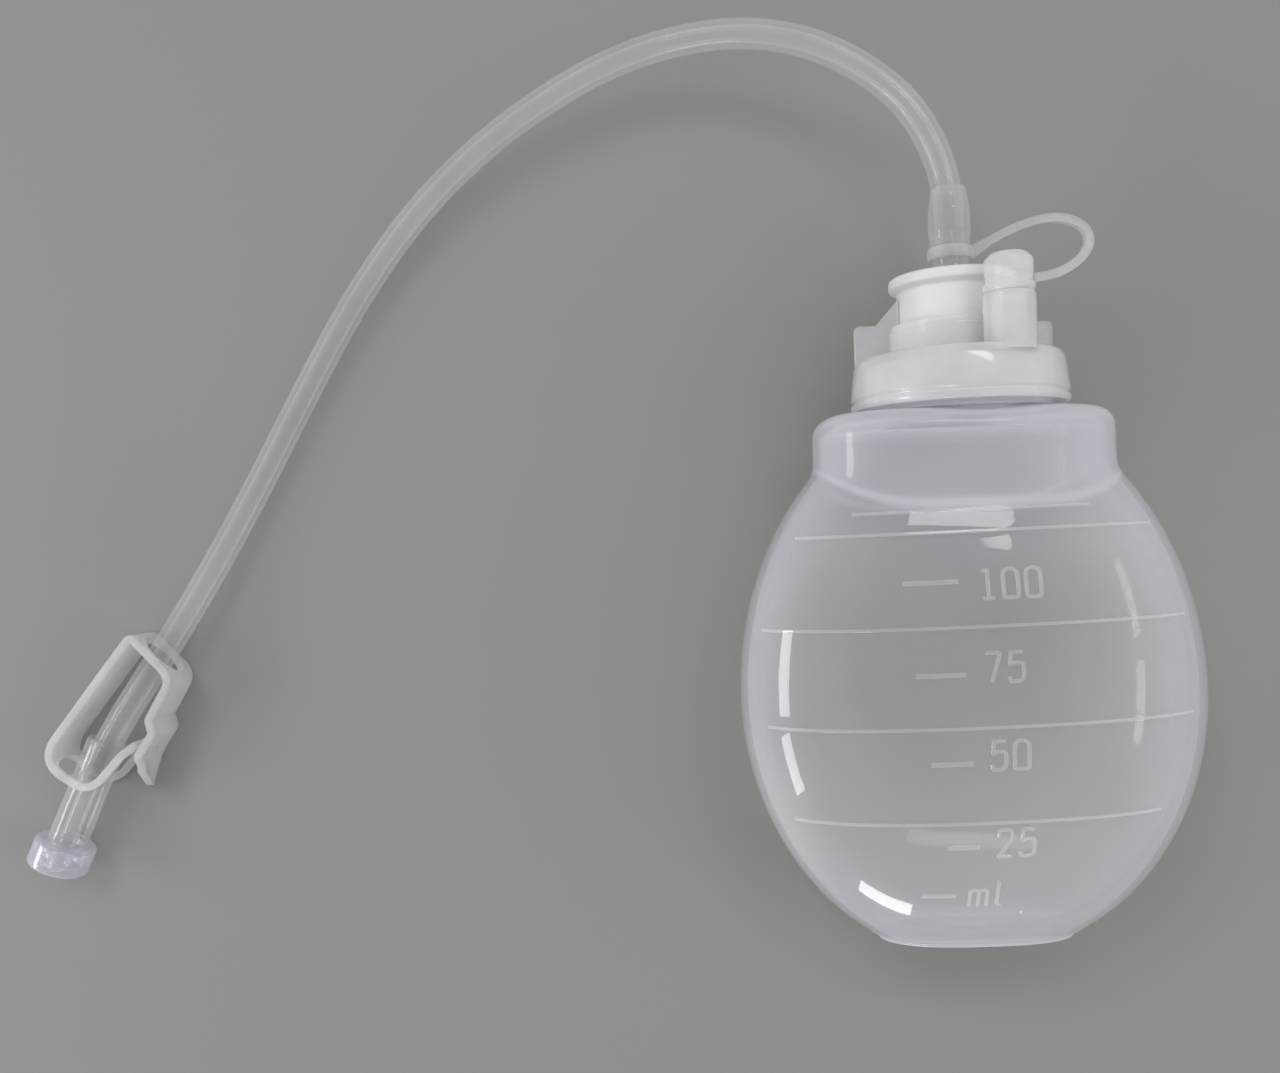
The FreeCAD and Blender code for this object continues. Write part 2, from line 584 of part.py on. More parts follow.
def slot_tool():
    """The round-ended slot that lets the hub and tube through the bend and the arm's root."""
    half, start, end = size("slot_half"), size("slot_start"), total_size("bend_at", "clamp_thick")
    left = -total_size("spine_out_low", "clamp_thick")
    across = total_size("arm_mid_out", "clamp_thick", "spine_out_low", "clamp_thick")
    round_end = Part.makeCylinder(half, across, V(left, -start - half, 0), V(1, 0, 0))
    return round_end.fuse(Part.makeBox(across, end - start - half, 2 * half, V(left, -end, -half)))


def hinge_point():
    """Where the bend hinges, in the clamp's own frame."""
    return (-size("hinge_out"), size("bend_at"))


def make_clamp_frame():
    """Spine, end wall with the tube's hole, latch wall with its step, and half of the bend."""
    latch_top = total_size("end_wall_at", "end_wall_drop")
    step_out = total_size("latch_out", "latch_lean")
    guide_out = step_out + size("step_out")
    corners = [
        hinge_point(), (-size("spine_out_low"), size("bend_at")),
        (-size("spine_out_top"), size("end_wall_at")), (size("latch_out"), latch_top),
        (step_out, size("step_at")), (guide_out, total_size("step_at", "step_length")),
        (guide_out + size("guide_lean"), size("guide_at")),
        (guide_out + total_size("guide_lean", "flare_out"), size("flare_at"))]
    rounds = [size(name) for name in ("bend_round", "end_wall_round", "latch_round", "step_round",
                                      "step_round", "guide_round")]
    reach = total_size("end_wall_at", "end_wall_drop", "clamp_hole")
    hole = Part.makeCylinder(size("clamp_hole"), reach, V(0, -reach, 0), V(0, 1, 0))
    out, along = hinge_point()
    seat = Part.makeCylinder(size("clamp_thick") / 2 + size("hinge_gap"), size("clamp_width"),
                             V(out, -along, -size("clamp_width") / 2))
    item = feature("clamp_frame", strip(corners, rounds).cut([slot_tool(), hole, seat]))
    item.Placement = clamp_placement()
    return item


def make_clamp_arm():
    """The rest of the bend and the pressing arm, whose tip snaps in under the latch's step."""
    corners = [hinge_point(), (size("arm_root_out"), size("bend_at")),
               (size("arm_mid_out"), size("arm_mid_at")), (size("arm_tip_out"), size("arm_tip_at"))]
    arm = strip(corners, [size("arm_root_round"), size("arm_mid_round")])
    item = feature("clamp_arm", arm.cut(slot_tool()))
    item.Placement = clamp_placement()
    return item


# Connector

def on_hub(item):
    """Set a turned body on the hub's axis, its own zero at the hub's mouth."""
    item.Placement = FreeCAD.Placement(V(*HUB_MOUTH), FreeCAD.Rotation(V(0, 1, 0), heading()))
    return item


def make_hub():
    """Hub: socket for the tube, a groove that carries the collar, and the nose."""
    end = total("hub_length", "nose_length")
    groove = total("hub_radius", "-groove_depth")
    behind = total("hub_length", "-collar_play")
    ahead = total("hub_length", "collar_back", "collar_play")
    mouth = total("tube_radius", "hub_mouth")
    body = lathe("connector_hub", [
        (mouth, "0"), (total("hub_radius"), "0"), (total("hub_radius"), behind), (groove, behind),
        (groove, ahead), (total("hub_radius", "-collar_play"), ahead),
        (total("nose_radius"), total("hub_length", "collar_back", "nose_shoulder")),
        (total("nose_radius"), end), (total("hub_bore"), end), (total("hub_bore"), total("hub_socket")),
        (total("tube_radius"), total("hub_socket")), (total("tube_radius"), total("hub_mouth_depth")),
        (mouth, total("hub_mouth_depth"))])
    return on_hub(body)


def make_collar():
    """Lock collar: a cup whose back runs in the hub's groove, open round the nose."""
    inner = total("collar_radius", "-collar_wall")
    hole = total("hub_radius", "-groove_depth", "collar_fit")
    back = total("hub_length", "collar_back")
    body = lathe("lock_collar", [
        (hole, total("hub_length")), (total("collar_radius"), total("hub_length")),
        (total("collar_radius"), total("hub_length", "collar_length")),
        (inner, total("hub_length", "collar_length")), (inner, back), (hole, back)])
    return on_hub(body)


def main():
    """Build every piece, check it and write its STEP file."""
    fill_sheet()
    pieces = [make_bulb(), make_cap(), make_stopper(), make_valve(), make_nipple(), make_sleeve(),
              make_plug(), make_tether(), make_tube(), make_clamp_frame(), make_clamp_arm(),
              make_hub(), make_collar()]
    recompute()
    os.makedirs("parts", exist_ok=True)
    for piece in pieces:
        shape = piece.Shape
        if shape.isNull() or not shape.isValid() or len(shape.Solids) != 1:
            raise RuntimeError("%s: %d solids, valid %s" % (
                piece.Label, len(shape.Solids), not shape.isNull() and shape.isValid()))
        box = shape.BoundBox
        print("%-18s volume %9.1f  x %7.1f %7.1f  y %7.1f %7.1f  z %6.2f %6.2f" % (
            piece.Label, shape.Volume, box.XMin, box.XMax, box.YMin, box.YMax, box.ZMin, box.ZMax))
    for piece in pieces:
        piece.Shape.exportStep(os.path.join("parts", piece.Label + ".step"))


main()
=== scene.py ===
"""Closed wound drainage system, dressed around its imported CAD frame.

A squeeze bulb lies on its back with its numbers up; its neck carries a translucent cap with a
white stopper, an outlet port, and a plug on a tether. A clear tube leaves the stopper in one long
arch, runs through a pinch clamp and ends in a connector with a turning lock collar.

Sizes are in millimetres and angles in degrees until a mesh is made. Heights along the bulb run
from its flat base, which lies at BASE_Y on the frame's Y axis.
"""
from __future__ import annotations

import json
import logging
import math
from dataclasses import dataclass
from enum import Enum

import bmesh
import bpy
import numpy as np
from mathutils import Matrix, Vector

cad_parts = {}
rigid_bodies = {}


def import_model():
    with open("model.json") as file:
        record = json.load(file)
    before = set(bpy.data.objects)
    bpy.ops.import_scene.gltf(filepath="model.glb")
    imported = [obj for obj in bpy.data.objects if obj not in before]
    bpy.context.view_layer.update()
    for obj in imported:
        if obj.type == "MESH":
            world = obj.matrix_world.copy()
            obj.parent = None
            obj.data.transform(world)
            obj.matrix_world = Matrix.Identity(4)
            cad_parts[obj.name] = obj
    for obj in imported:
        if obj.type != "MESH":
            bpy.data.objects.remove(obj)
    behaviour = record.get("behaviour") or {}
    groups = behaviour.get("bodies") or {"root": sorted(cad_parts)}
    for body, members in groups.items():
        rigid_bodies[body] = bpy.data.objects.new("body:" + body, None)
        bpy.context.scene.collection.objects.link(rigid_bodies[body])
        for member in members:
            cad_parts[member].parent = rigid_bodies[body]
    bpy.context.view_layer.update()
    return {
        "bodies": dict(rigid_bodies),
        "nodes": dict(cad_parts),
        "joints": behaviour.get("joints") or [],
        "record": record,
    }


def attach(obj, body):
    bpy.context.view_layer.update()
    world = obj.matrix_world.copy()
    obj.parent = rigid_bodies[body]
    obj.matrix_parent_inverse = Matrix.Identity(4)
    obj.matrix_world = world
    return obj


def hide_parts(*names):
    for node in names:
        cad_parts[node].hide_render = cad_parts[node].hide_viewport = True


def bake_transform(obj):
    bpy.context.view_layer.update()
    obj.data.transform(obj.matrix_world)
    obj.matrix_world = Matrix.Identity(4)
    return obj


MM = 0.001
BASE_Y = -62.15
AXIS_Z = 20.0
INLET_Z = 18.0
PORT_X = 4.6
PORT_Z = 33.0
# Radii between which the cap's axis climbs from the inlet's height to the bulb's
AXIS_CLIMB_FROM = 11.2
AXIS_CLIMB_OVER = 3.2
# The largest share of a straight run that the arc at one of its corners may take
ARC_SHARE = 0.49
# Wall thickness and the painted glow towards the top, as the "wall" attribute has them,
# over which the skin loses its gloss
GLOSSY_BELOW = 0.14
DULL_ABOVE = 0.42
DULL_COAT = 0.2

log = logging.getLogger("drain")


class Body(Enum):
    """Bodies of the CAD frame."""

    ROOT = "root"
    PLUG = "plug"
    CLAMP = "clamp"
    ARM = "arm"
    COLLAR = "collar"


class Slot(Enum):
    """Material slots of the record."""

    BULB = "bulb_plastic"
    CAP = "cap_plastic"
    WHITE = "white_plastic"
    VALVE = "valve_rubber"
    CLEAR = "clear_plastic"
    PLUG = "plug_plastic"
    TUBE = "clear_tube"
    CLAMP = "clamp_plastic"
    COLLAR = "collar_plastic"


# Small geometry helpers

def unit(vectors: np.ndarray) -> np.ndarray:
    """Vectors scaled to length one along their last axis."""
    return vectors / np.linalg.norm(vectors, axis=-1, keepdims=True)


def ease(value: np.ndarray) -> np.ndarray:
    """The smooth step 3t^2 - 2t^3 of a value held between 0 and 1."""
    t = np.clip(value, 0.0, 1.0)
    return t * t * (3.0 - 2.0 * t)


def grid_faces(rows: int, columns: int, wrap: bool) -> np.ndarray:
    """Quads of a grid of points numbered row by row.

    Args:
        rows: number of rows.
        columns: number of points in a row.
        wrap: whether the last column joins the first.

    Returns:
        An array of four point numbers a quad.
    """
    across = np.arange(columns if wrap else columns - 1)
    low = (np.arange(rows - 1)[:, None] * columns)
    left, right = low + across, low + (across + 1) % columns
    return np.stack([left, right, right + columns, left + columns], -1).reshape(-1, 4)


def make_piece(name: str, points: np.ndarray, faces: np.ndarray, crease: float = 38.0,
               outwards: bool = True) -> bpy.types.Object:
    """A mesh object at the origin from points in millimetres, its doubles merged.

    Args:
        name: the piece's name.
        points: points, in any grid shape, whose last axis is x, y, z.
        faces: point numbers of each face, in equal-sized rows.
        crease: angle past which an edge is shaded sharp.
        outwards: whether the normals are worked out anew, for a closed shell.

    Returns:
        The object, linked to the scene.
    """
    mesh = bpy.data.meshes.new(name)
    mesh.from_pydata(points.reshape(-1, 3) * MM, [], faces.tolist())
    tidy = bmesh.new()
    tidy.from_mesh(mesh)
    bmesh.ops.remove_doubles(tidy, verts=tidy.verts, dist=2e-6)
    bmesh.ops.dissolve_degenerate(tidy, edges=tidy.edges, dist=1e-6)
    if outwards:
        bmesh.ops.recalc_face_normals(tidy, faces=tidy.faces)
    tidy.to_mesh(mesh)
    tidy.free()
    mesh.shade_smooth()
    mesh.set_sharp_from_angle(angle=math.radians(crease))
    piece = bpy.data.objects.new(name, mesh)
    bpy.context.scene.collection.objects.link(piece)
    return piece


def softened(corners: list[tuple[float, float, float]], steps: int = 5) -> np.ndarray:
    """A profile whose corners are rounded by tangent arcs.

    Each corner is cut back along both its runs by radius times the tangent of half its turn, and
    the arc between the two cuts is a quadratic blend, near enough round at these sizes.

    Args:
        corners: each corner's two coordinates and its radius.
        steps: points on each arc.

    Returns:
        The profile's points, two coordinates each.
    """
    spots = np.array([corner[:2] for corner in corners], float)
    parts = [spots[:1]]
    for before, spot, after, corner in zip(spots, spots[1:], spots[2:], corners[1:]):
        radius = corner[2]
        into, away = unit(before - spot), unit(after - spot)
        turn = math.pi - math.acos(float(np.clip(into @ away, -1.0, 1.0)))
        reach = min(radius * math.tan(turn / 2), ARC_SHARE * np.linalg.norm(before - spot),
                    ARC_SHARE * np.linalg.norm(after - spot))
        if reach < 1e-4:
            parts.append(spot[None])
            continue
        t = np.linspace(0.0, 1.0, steps)[:, None]
        first, last = spot + into * reach, spot + away * reach
        parts.append(first * (1 - t) ** 2 + spot * 2 * t * (1 - t) + last * t ** 2)
    parts.append(spots[-1:])
    return np.concatenate(parts)


def turned(name: str, corners: list[tuple[float, float, float]], x: float = 0.0,
           z: float = INLET_Z, count: int = 72, steps: int = 5, shift: bool = False
           ) -> bpy.types.Object:
    """A closed shell turned about an axis along +Y.

    Point (i, j) lies at radius r_i, height h_i and angle 2 pi j / count about the axis.

    Args:
        name: the piece's name.
        corners: radius, height above the bulb's base and rounding of each profile corner; the
            profile closes on itself.
        x: the axis's place across.
        z: the axis's height above the table.
        count: points round the axis.
        steps: points on each rounded corner.
        shift: whether the axis climbs to the bulb's own in the wider parts.

    Returns:
        The object.
    """
    profile = softened(corners, steps)
    turn = 2 * math.pi * np.arange(count) / count
    radius, height = profile[:, 0, None], profile[:, 1, None]
    middle = z + (AXIS_Z - z) * ease((radius - AXIS_CLIMB_FROM) / AXIS_CLIMB_OVER) * shift
    points = np.stack([x + radius * np.cos(turn), BASE_Y + height + 0 * turn,
                       middle + radius * np.sin(turn)], -1)
    return make_piece(name, points, grid_faces(len(profile), count, True))


def dress(piece: bpy.types.Object, material: bpy.types.Material, slot: Slot,
          body: Body | None = Body.ROOT) -> bpy.types.Object:
    """Give a piece its only material and its body.

    Args:
        piece: the object.
        material: its material.
        slot: the record's material slot that it follows; not used.
        body: the body it rides on, or none where it bends between two.

    Returns:
        The same object.
    """
    piece.data.materials.clear()
    piece.data.materials.append(material)
    if body is not None:
        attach(piece, body.value)
    log.info("%s: %d faces", piece.name, len(piece.data.polygons))
    return piece


# Finishes

def new_group(name: str, inputs: dict[str, float], outputs: tuple[str, ...]
              ) -> bpy.types.NodeTree:
    """An empty shader node group with float sockets.

    Args:
        name: the group's name.
        inputs: its inputs and their defaults.
        outputs: its outputs.

    Returns:
        The group, with its own input and output nodes.
    """
    group = bpy.data.node_groups.new(name, "ShaderNodeTree")
    for word, value in inputs.items():
        socket = group.interface.new_socket(word, in_out="INPUT", socket_type="NodeSocketFloat")
        socket.default_value = value
    for word in outputs:
        group.interface.new_socket(word, in_out="OUTPUT", socket_type="NodeSocketFloat")
    group.nodes.new("NodeGroupInput").name = "in"
    group.nodes.new("NodeGroupOutput").name = "out"
    return group


def cloud_group() -> bpy.types.NodeTree:
    """Soft clouds in a moulding's wall, as a mask and as a fine height for bump.

    Returns:
        The group: Scale in clouds a metre, Grain in specks a metre, Mask and Height out.
    """
    found = bpy.data.node_groups.get("moulded_clouds")
    if found:
        return found
    group = new_group("moulded_clouds", {"Scale": 60.0, "Grain": 900.0}, ("Mask", "Height"))
    nodes, links = group.nodes, group.links
    place = nodes.new("ShaderNodeTexCoord")
    clouds = nodes.new("ShaderNodeTexNoise")
    clouds.inputs["Detail"].default_value = 3.0
    grain = nodes.new("ShaderNodeTexNoise")
    grain.inputs["Detail"].default_value = 2.0
    links.new(place.outputs["Object"], clouds.inputs["Vector"])
    links.new(place.outputs["Object"], grain.inputs["Vector"])
    links.new(nodes["in"].outputs["Scale"], clouds.inputs["Scale"])
    links.new(nodes["in"].outputs["Grain"], grain.inputs["Scale"])
    spread = nodes.new("ShaderNodeMapRange")
    spread.inputs["From Min"].default_value = 0.3
    spread.inputs["From Max"].default_value = 0.7
    links.new(clouds.outputs["Fac"], spread.inputs["Value"])
    links.new(spread.outputs["Result"], nodes["out"].inputs["Mask"])
    links.new(grain.outputs["Fac"], nodes["out"].inputs["Height"])
    return group


@dataclass(frozen=True)
class Plastic:
    """A moulded plastic.

    Its colour lies between thin and dense in soft clouds, so many a metre, and its grain and its
    streaks give a fine relief in millimetres. One that is seen through has a veil below one: its
    opacity square on, which rises to the rim value as the wall turns away, the later the larger
    its bend. Density is what the "wall" attribute adds to that, and depth is how far light
    scatters inside, in millimetres.
    """

    name: str
    thin: tuple[float, float, float]
    dense: tuple[float, float, float]
    roughness: float = 0.25
    veil: float = 1.0
    rim: float = 1.0
    bend: float = 1.0
    coat: float = 0.0
    scatter: float = 0.0
    clouds: float = 60.0
    grain: float = 900.0
    relief: float = 0.0
    streaks: float = 0.0
    coat_ior: float = 1.5
    coat_roughness: float = 0.05
    density: float = 0.0
    depth: float = 2.0

    def material(self) -> bpy.types.Material:
        """Build the node material.

        Returns:
            The material, built once and found again by its name.
        """
        found = bpy.data.materials.get(self.name)
        if found:
            return found
        material = bpy.data.materials.new(self.name)
        material.use_nodes = True
        nodes, links = material.node_tree.nodes, material.node_tree.links
        shader = nodes["Principled BSDF"]
        shader.inputs["Coat Weight"].default_value = self.coat
        shader.inputs["Coat Roughness"].default_value = self.coat_roughness
        shader.inputs["Coat IOR"].default_value = self.coat_ior
        shader.inputs["IOR"].default_value = 1.49
        shader.inputs["Subsurface Weight"].default_value = self.scatter
        shader.inputs["Subsurface Radius"].default_value = (1.0, 1.0, 1.0)
        shader.inputs["Subsurface Scale"].default_value = self.depth * MM
        clouds = nodes.new("ShaderNodeGroup")
        clouds.node_tree = cloud_group()
        clouds.inputs["Scale"].default_value = self.clouds
        clouds.inputs["Grain"].default_value = self.grain
        tone = nodes.new("ShaderNodeMix")
        tone.data_type = "RGBA"
        tone.inputs[6].default_value = (*self.thin, 1.0)
        tone.inputs[7].default_value = (*self.dense, 1.0)
        links.new(clouds.outputs["Mask"], tone.inputs[0])
        links.new(tone.outputs[2], shader.inputs["Base Color"])
        gloss = nodes.new("ShaderNodeMapRange")
        gloss.inputs["To Min"].default_value = self.roughness * 0.85
        gloss.inputs["To Max"].default_value = self.roughness * 1.2
        links.new(clouds.outputs["Mask"], gloss.inputs["Value"])
        links.new(gloss.outputs["Result"], shader.inputs["Roughness"])
        height = clouds.outputs["Height"]
        if self.streaks:
            height = self._streaked(nodes, links, height)
        if self.relief:
            bump = nodes.new("ShaderNodeBump")
            bump.inputs["Strength"].default_value = 1.0
            bump.inputs["Distance"].default_value = self.relief * MM
            links.new(height, bump.inputs["Height"])
            links.new(bump.outputs["Normal"], shader.inputs["Normal"])
        if self.veil < 1.0:
            self._see_through(nodes, links, shader, clouds)
        return material

    def _streaked(self, nodes: bpy.types.Nodes, links: bpy.types.NodeLinks,
                  height: bpy.types.NodeSocket) -> bpy.types.NodeSocket:
        """Add fine drawn lines that run along the piece's own UV map.

        Args:
            nodes: the material's nodes.
            links: the material's links.
            height: the height so far.

        Returns:
            The height with the streaks.
        """
        track = nodes.new("ShaderNodeUVMap")
        track.uv_map = "along"
        stretch = nodes.new("ShaderNodeMapping")
        stretch.inputs["Scale"].default_value = (0.5, self.streaks, 1.0)
        lines = nodes.new("ShaderNodeTexNoise")
        lines.inputs["Scale"].default_value = 1.0
        lines.inputs["Detail"].default_value = 2.0
        both = nodes.new("ShaderNodeMath")
        both.operation = "ADD"
        links.new(track.outputs["UV"], stretch.inputs["Vector"])
        links.new(stretch.outputs["Vector"], lines.inputs["Vector"])
        links.new(lines.outputs["Fac"], both.inputs[0])
        links.new(height, both.inputs[1])
        return both.outputs["Value"]

    def _see_through(self, nodes: bpy.types.Nodes, links: bpy.types.NodeLinks,
                     shader: bpy.types.Node, clouds: bpy.types.Node) -> None:
        """Set the opacity from the wall's slant and its clouds.

        Args:
            nodes: the material's nodes.
            links: the material's links.
            shader: the Principled node.
            clouds: the cloud group's node.
        """
        slant = nodes.new("ShaderNodeLayerWeight")
        slant.inputs["Blend"].default_value = 0.5
        curve = nodes.new("ShaderNodeMath")
        curve.operation = "POWER"
        curve.inputs[1].default_value = self.bend
        links.new(slant.outputs["Facing"], curve.inputs[0])
        opacity = nodes.new("ShaderNodeMapRange")
        opacity.inputs["To Min"].default_value = self.veil
        opacity.inputs["To Max"].default_value = self.rim
        links.new(curve.outputs["Value"], opacity.inputs["Value"])
        uneven = nodes.new("ShaderNodeMapRange")
        uneven.inputs["To Min"].default_value = 0.9
        uneven.inputs["To Max"].default_value = 1.1
        links.new(clouds.outputs["Mask"], uneven.inputs["Value"])
        final = nodes.new("ShaderNodeMath")
        final.operation = "MULTIPLY"
        final.use_clamp = True
        if self.density:
            wall = nodes.new("ShaderNodeAttribute")
            wall.attribute_name = "wall"
            thicker = nodes.new("ShaderNodeMath")
            thicker.operation = "MULTIPLY_ADD"
            thicker.inputs[1].default_value = self.density
            links.new(wall.outputs["Fac"], thicker.inputs[0])
            # The skin is duller where the blown wall is thick
            duller = nodes.new("ShaderNodeMapRange")
            duller.inputs["From Min"].default_value = GLOSSY_BELOW
            duller.inputs["From Max"].default_value = DULL_ABOVE
            duller.inputs["To Min"].default_value = self.coat
            duller.inputs["To Max"].default_value = DULL_COAT * self.coat
            links.new(wall.outputs["Fac"], duller.inputs["Value"])
            links.new(duller.outputs["Result"], shader.inputs["Coat Weight"])
            links.new(opacity.outputs["Result"], thicker.inputs[2])
            links.new(thicker.outputs["Value"], final.inputs[0])
        else:
            links.new(opacity.outputs["Result"], final.inputs[0])
        links.new(uneven.outputs["Result"], final.inputs[1])
        links.new(final.outputs["Value"], shader.inputs["Alpha"])


BULB_SKIN = Plastic("bulb_milky", (0.78, 0.79, 0.86), (0.83, 0.83, 0.88), roughness=0.2,
                    veil=0.12, rim=0.62, bend=1.1, coat=1.0, clouds=38.0, coat_ior=2.5,
                    coat_roughness=0.04, density=0.3)
BULB_INSIDE = Plastic("bulb_milky_inside", (0.78, 0.79, 0.86), (0.83, 0.83, 0.88), roughness=0.6,
                      veil=0.1, rim=0.5, bend=1.2, clouds=38.0, density=0.3)
BULB_MARK = Plastic("bulb_raised_marks", (0.95, 0.95, 0.96), (0.92, 0.92, 0.94), roughness=0.2,
                    veil=0.17, rim=0.62, bend=0.9, coat=0.8, coat_ior=2.0)
CAP_SKIN = Plastic("cap_milky", (0.90, 0.91, 0.92), (0.93, 0.94, 0.95), roughness=0.24,
                   veil=0.42, rim=0.9, coat=1.0, clouds=120.0, coat_ior=1.7, scatter=0.2)
WING_SKIN = Plastic("cap_wing_milky", (0.85, 0.86, 0.89), (0.88, 0.89, 0.91), roughness=0.24,
                    veil=0.28, rim=0.8, coat=1.0, clouds=120.0, coat_ior=1.7)
WHITE = Plastic("stopper_white", (0.76, 0.76, 0.75), (0.79, 0.79, 0.78), roughness=0.4,
                scatter=0.2, clouds=150.0, relief=0.02)
VALVE = Plastic("valve_silicone", (0.84, 0.84, 0.82), (0.80, 0.80, 0.79), roughness=0.5,
                veil=0.6, rim=0.9)
CLEAR = Plastic("moulding_clear", (0.78, 0.79, 0.80), (0.82, 0.83, 0.84), roughness=0.1,
                veil=0.1, rim=0.65, bend=1.6, coat=1.0, clouds=200.0, coat_ior=2.2)
PLUG = Plastic("plug_milky", (0.90, 0.91, 0.92), (0.93, 0.93, 0.94), roughness=0.26,
               veil=0.42, rim=0.85, coat=0.7, clouds=160.0, coat_roughness=0.15, scatter=0.2)
TETHER = Plastic("tether_milky", (0.78, 0.79, 0.80), (0.83, 0.84, 0.85), roughness=0.26,
                 veil=0.24, rim=0.7, coat=0.7, clouds=160.0, coat_roughness=0.15)
TUBE = Plastic("tube_clear", (0.80, 0.80, 0.80), (0.84, 0.84, 0.84), roughness=0.14,
               veil=0.075, rim=0.5, bend=1.3, coat=1.0, clouds=90.0, relief=0.0025, streaks=12.0,
               coat_ior=2.3, coat_roughness=0.1)
CLAMP = Plastic("clamp_milky", (0.88, 0.88, 0.87), (0.92, 0.92, 0.91), roughness=0.3,
                veil=0.33, rim=0.85, bend=1.2, coat=0.8, clouds=130.0, relief=0.02, scatter=0.3,
                depth=1.5)
COLLAR = Plastic("collar_bluish", (0.72, 0.75, 0.92), (0.86, 0.88, 0.97), roughness=0.1,
                 veil=0.19, rim=0.75, bend=1.2, coat=1.0, clouds=300.0, coat_ior=2.0)


# Bulb

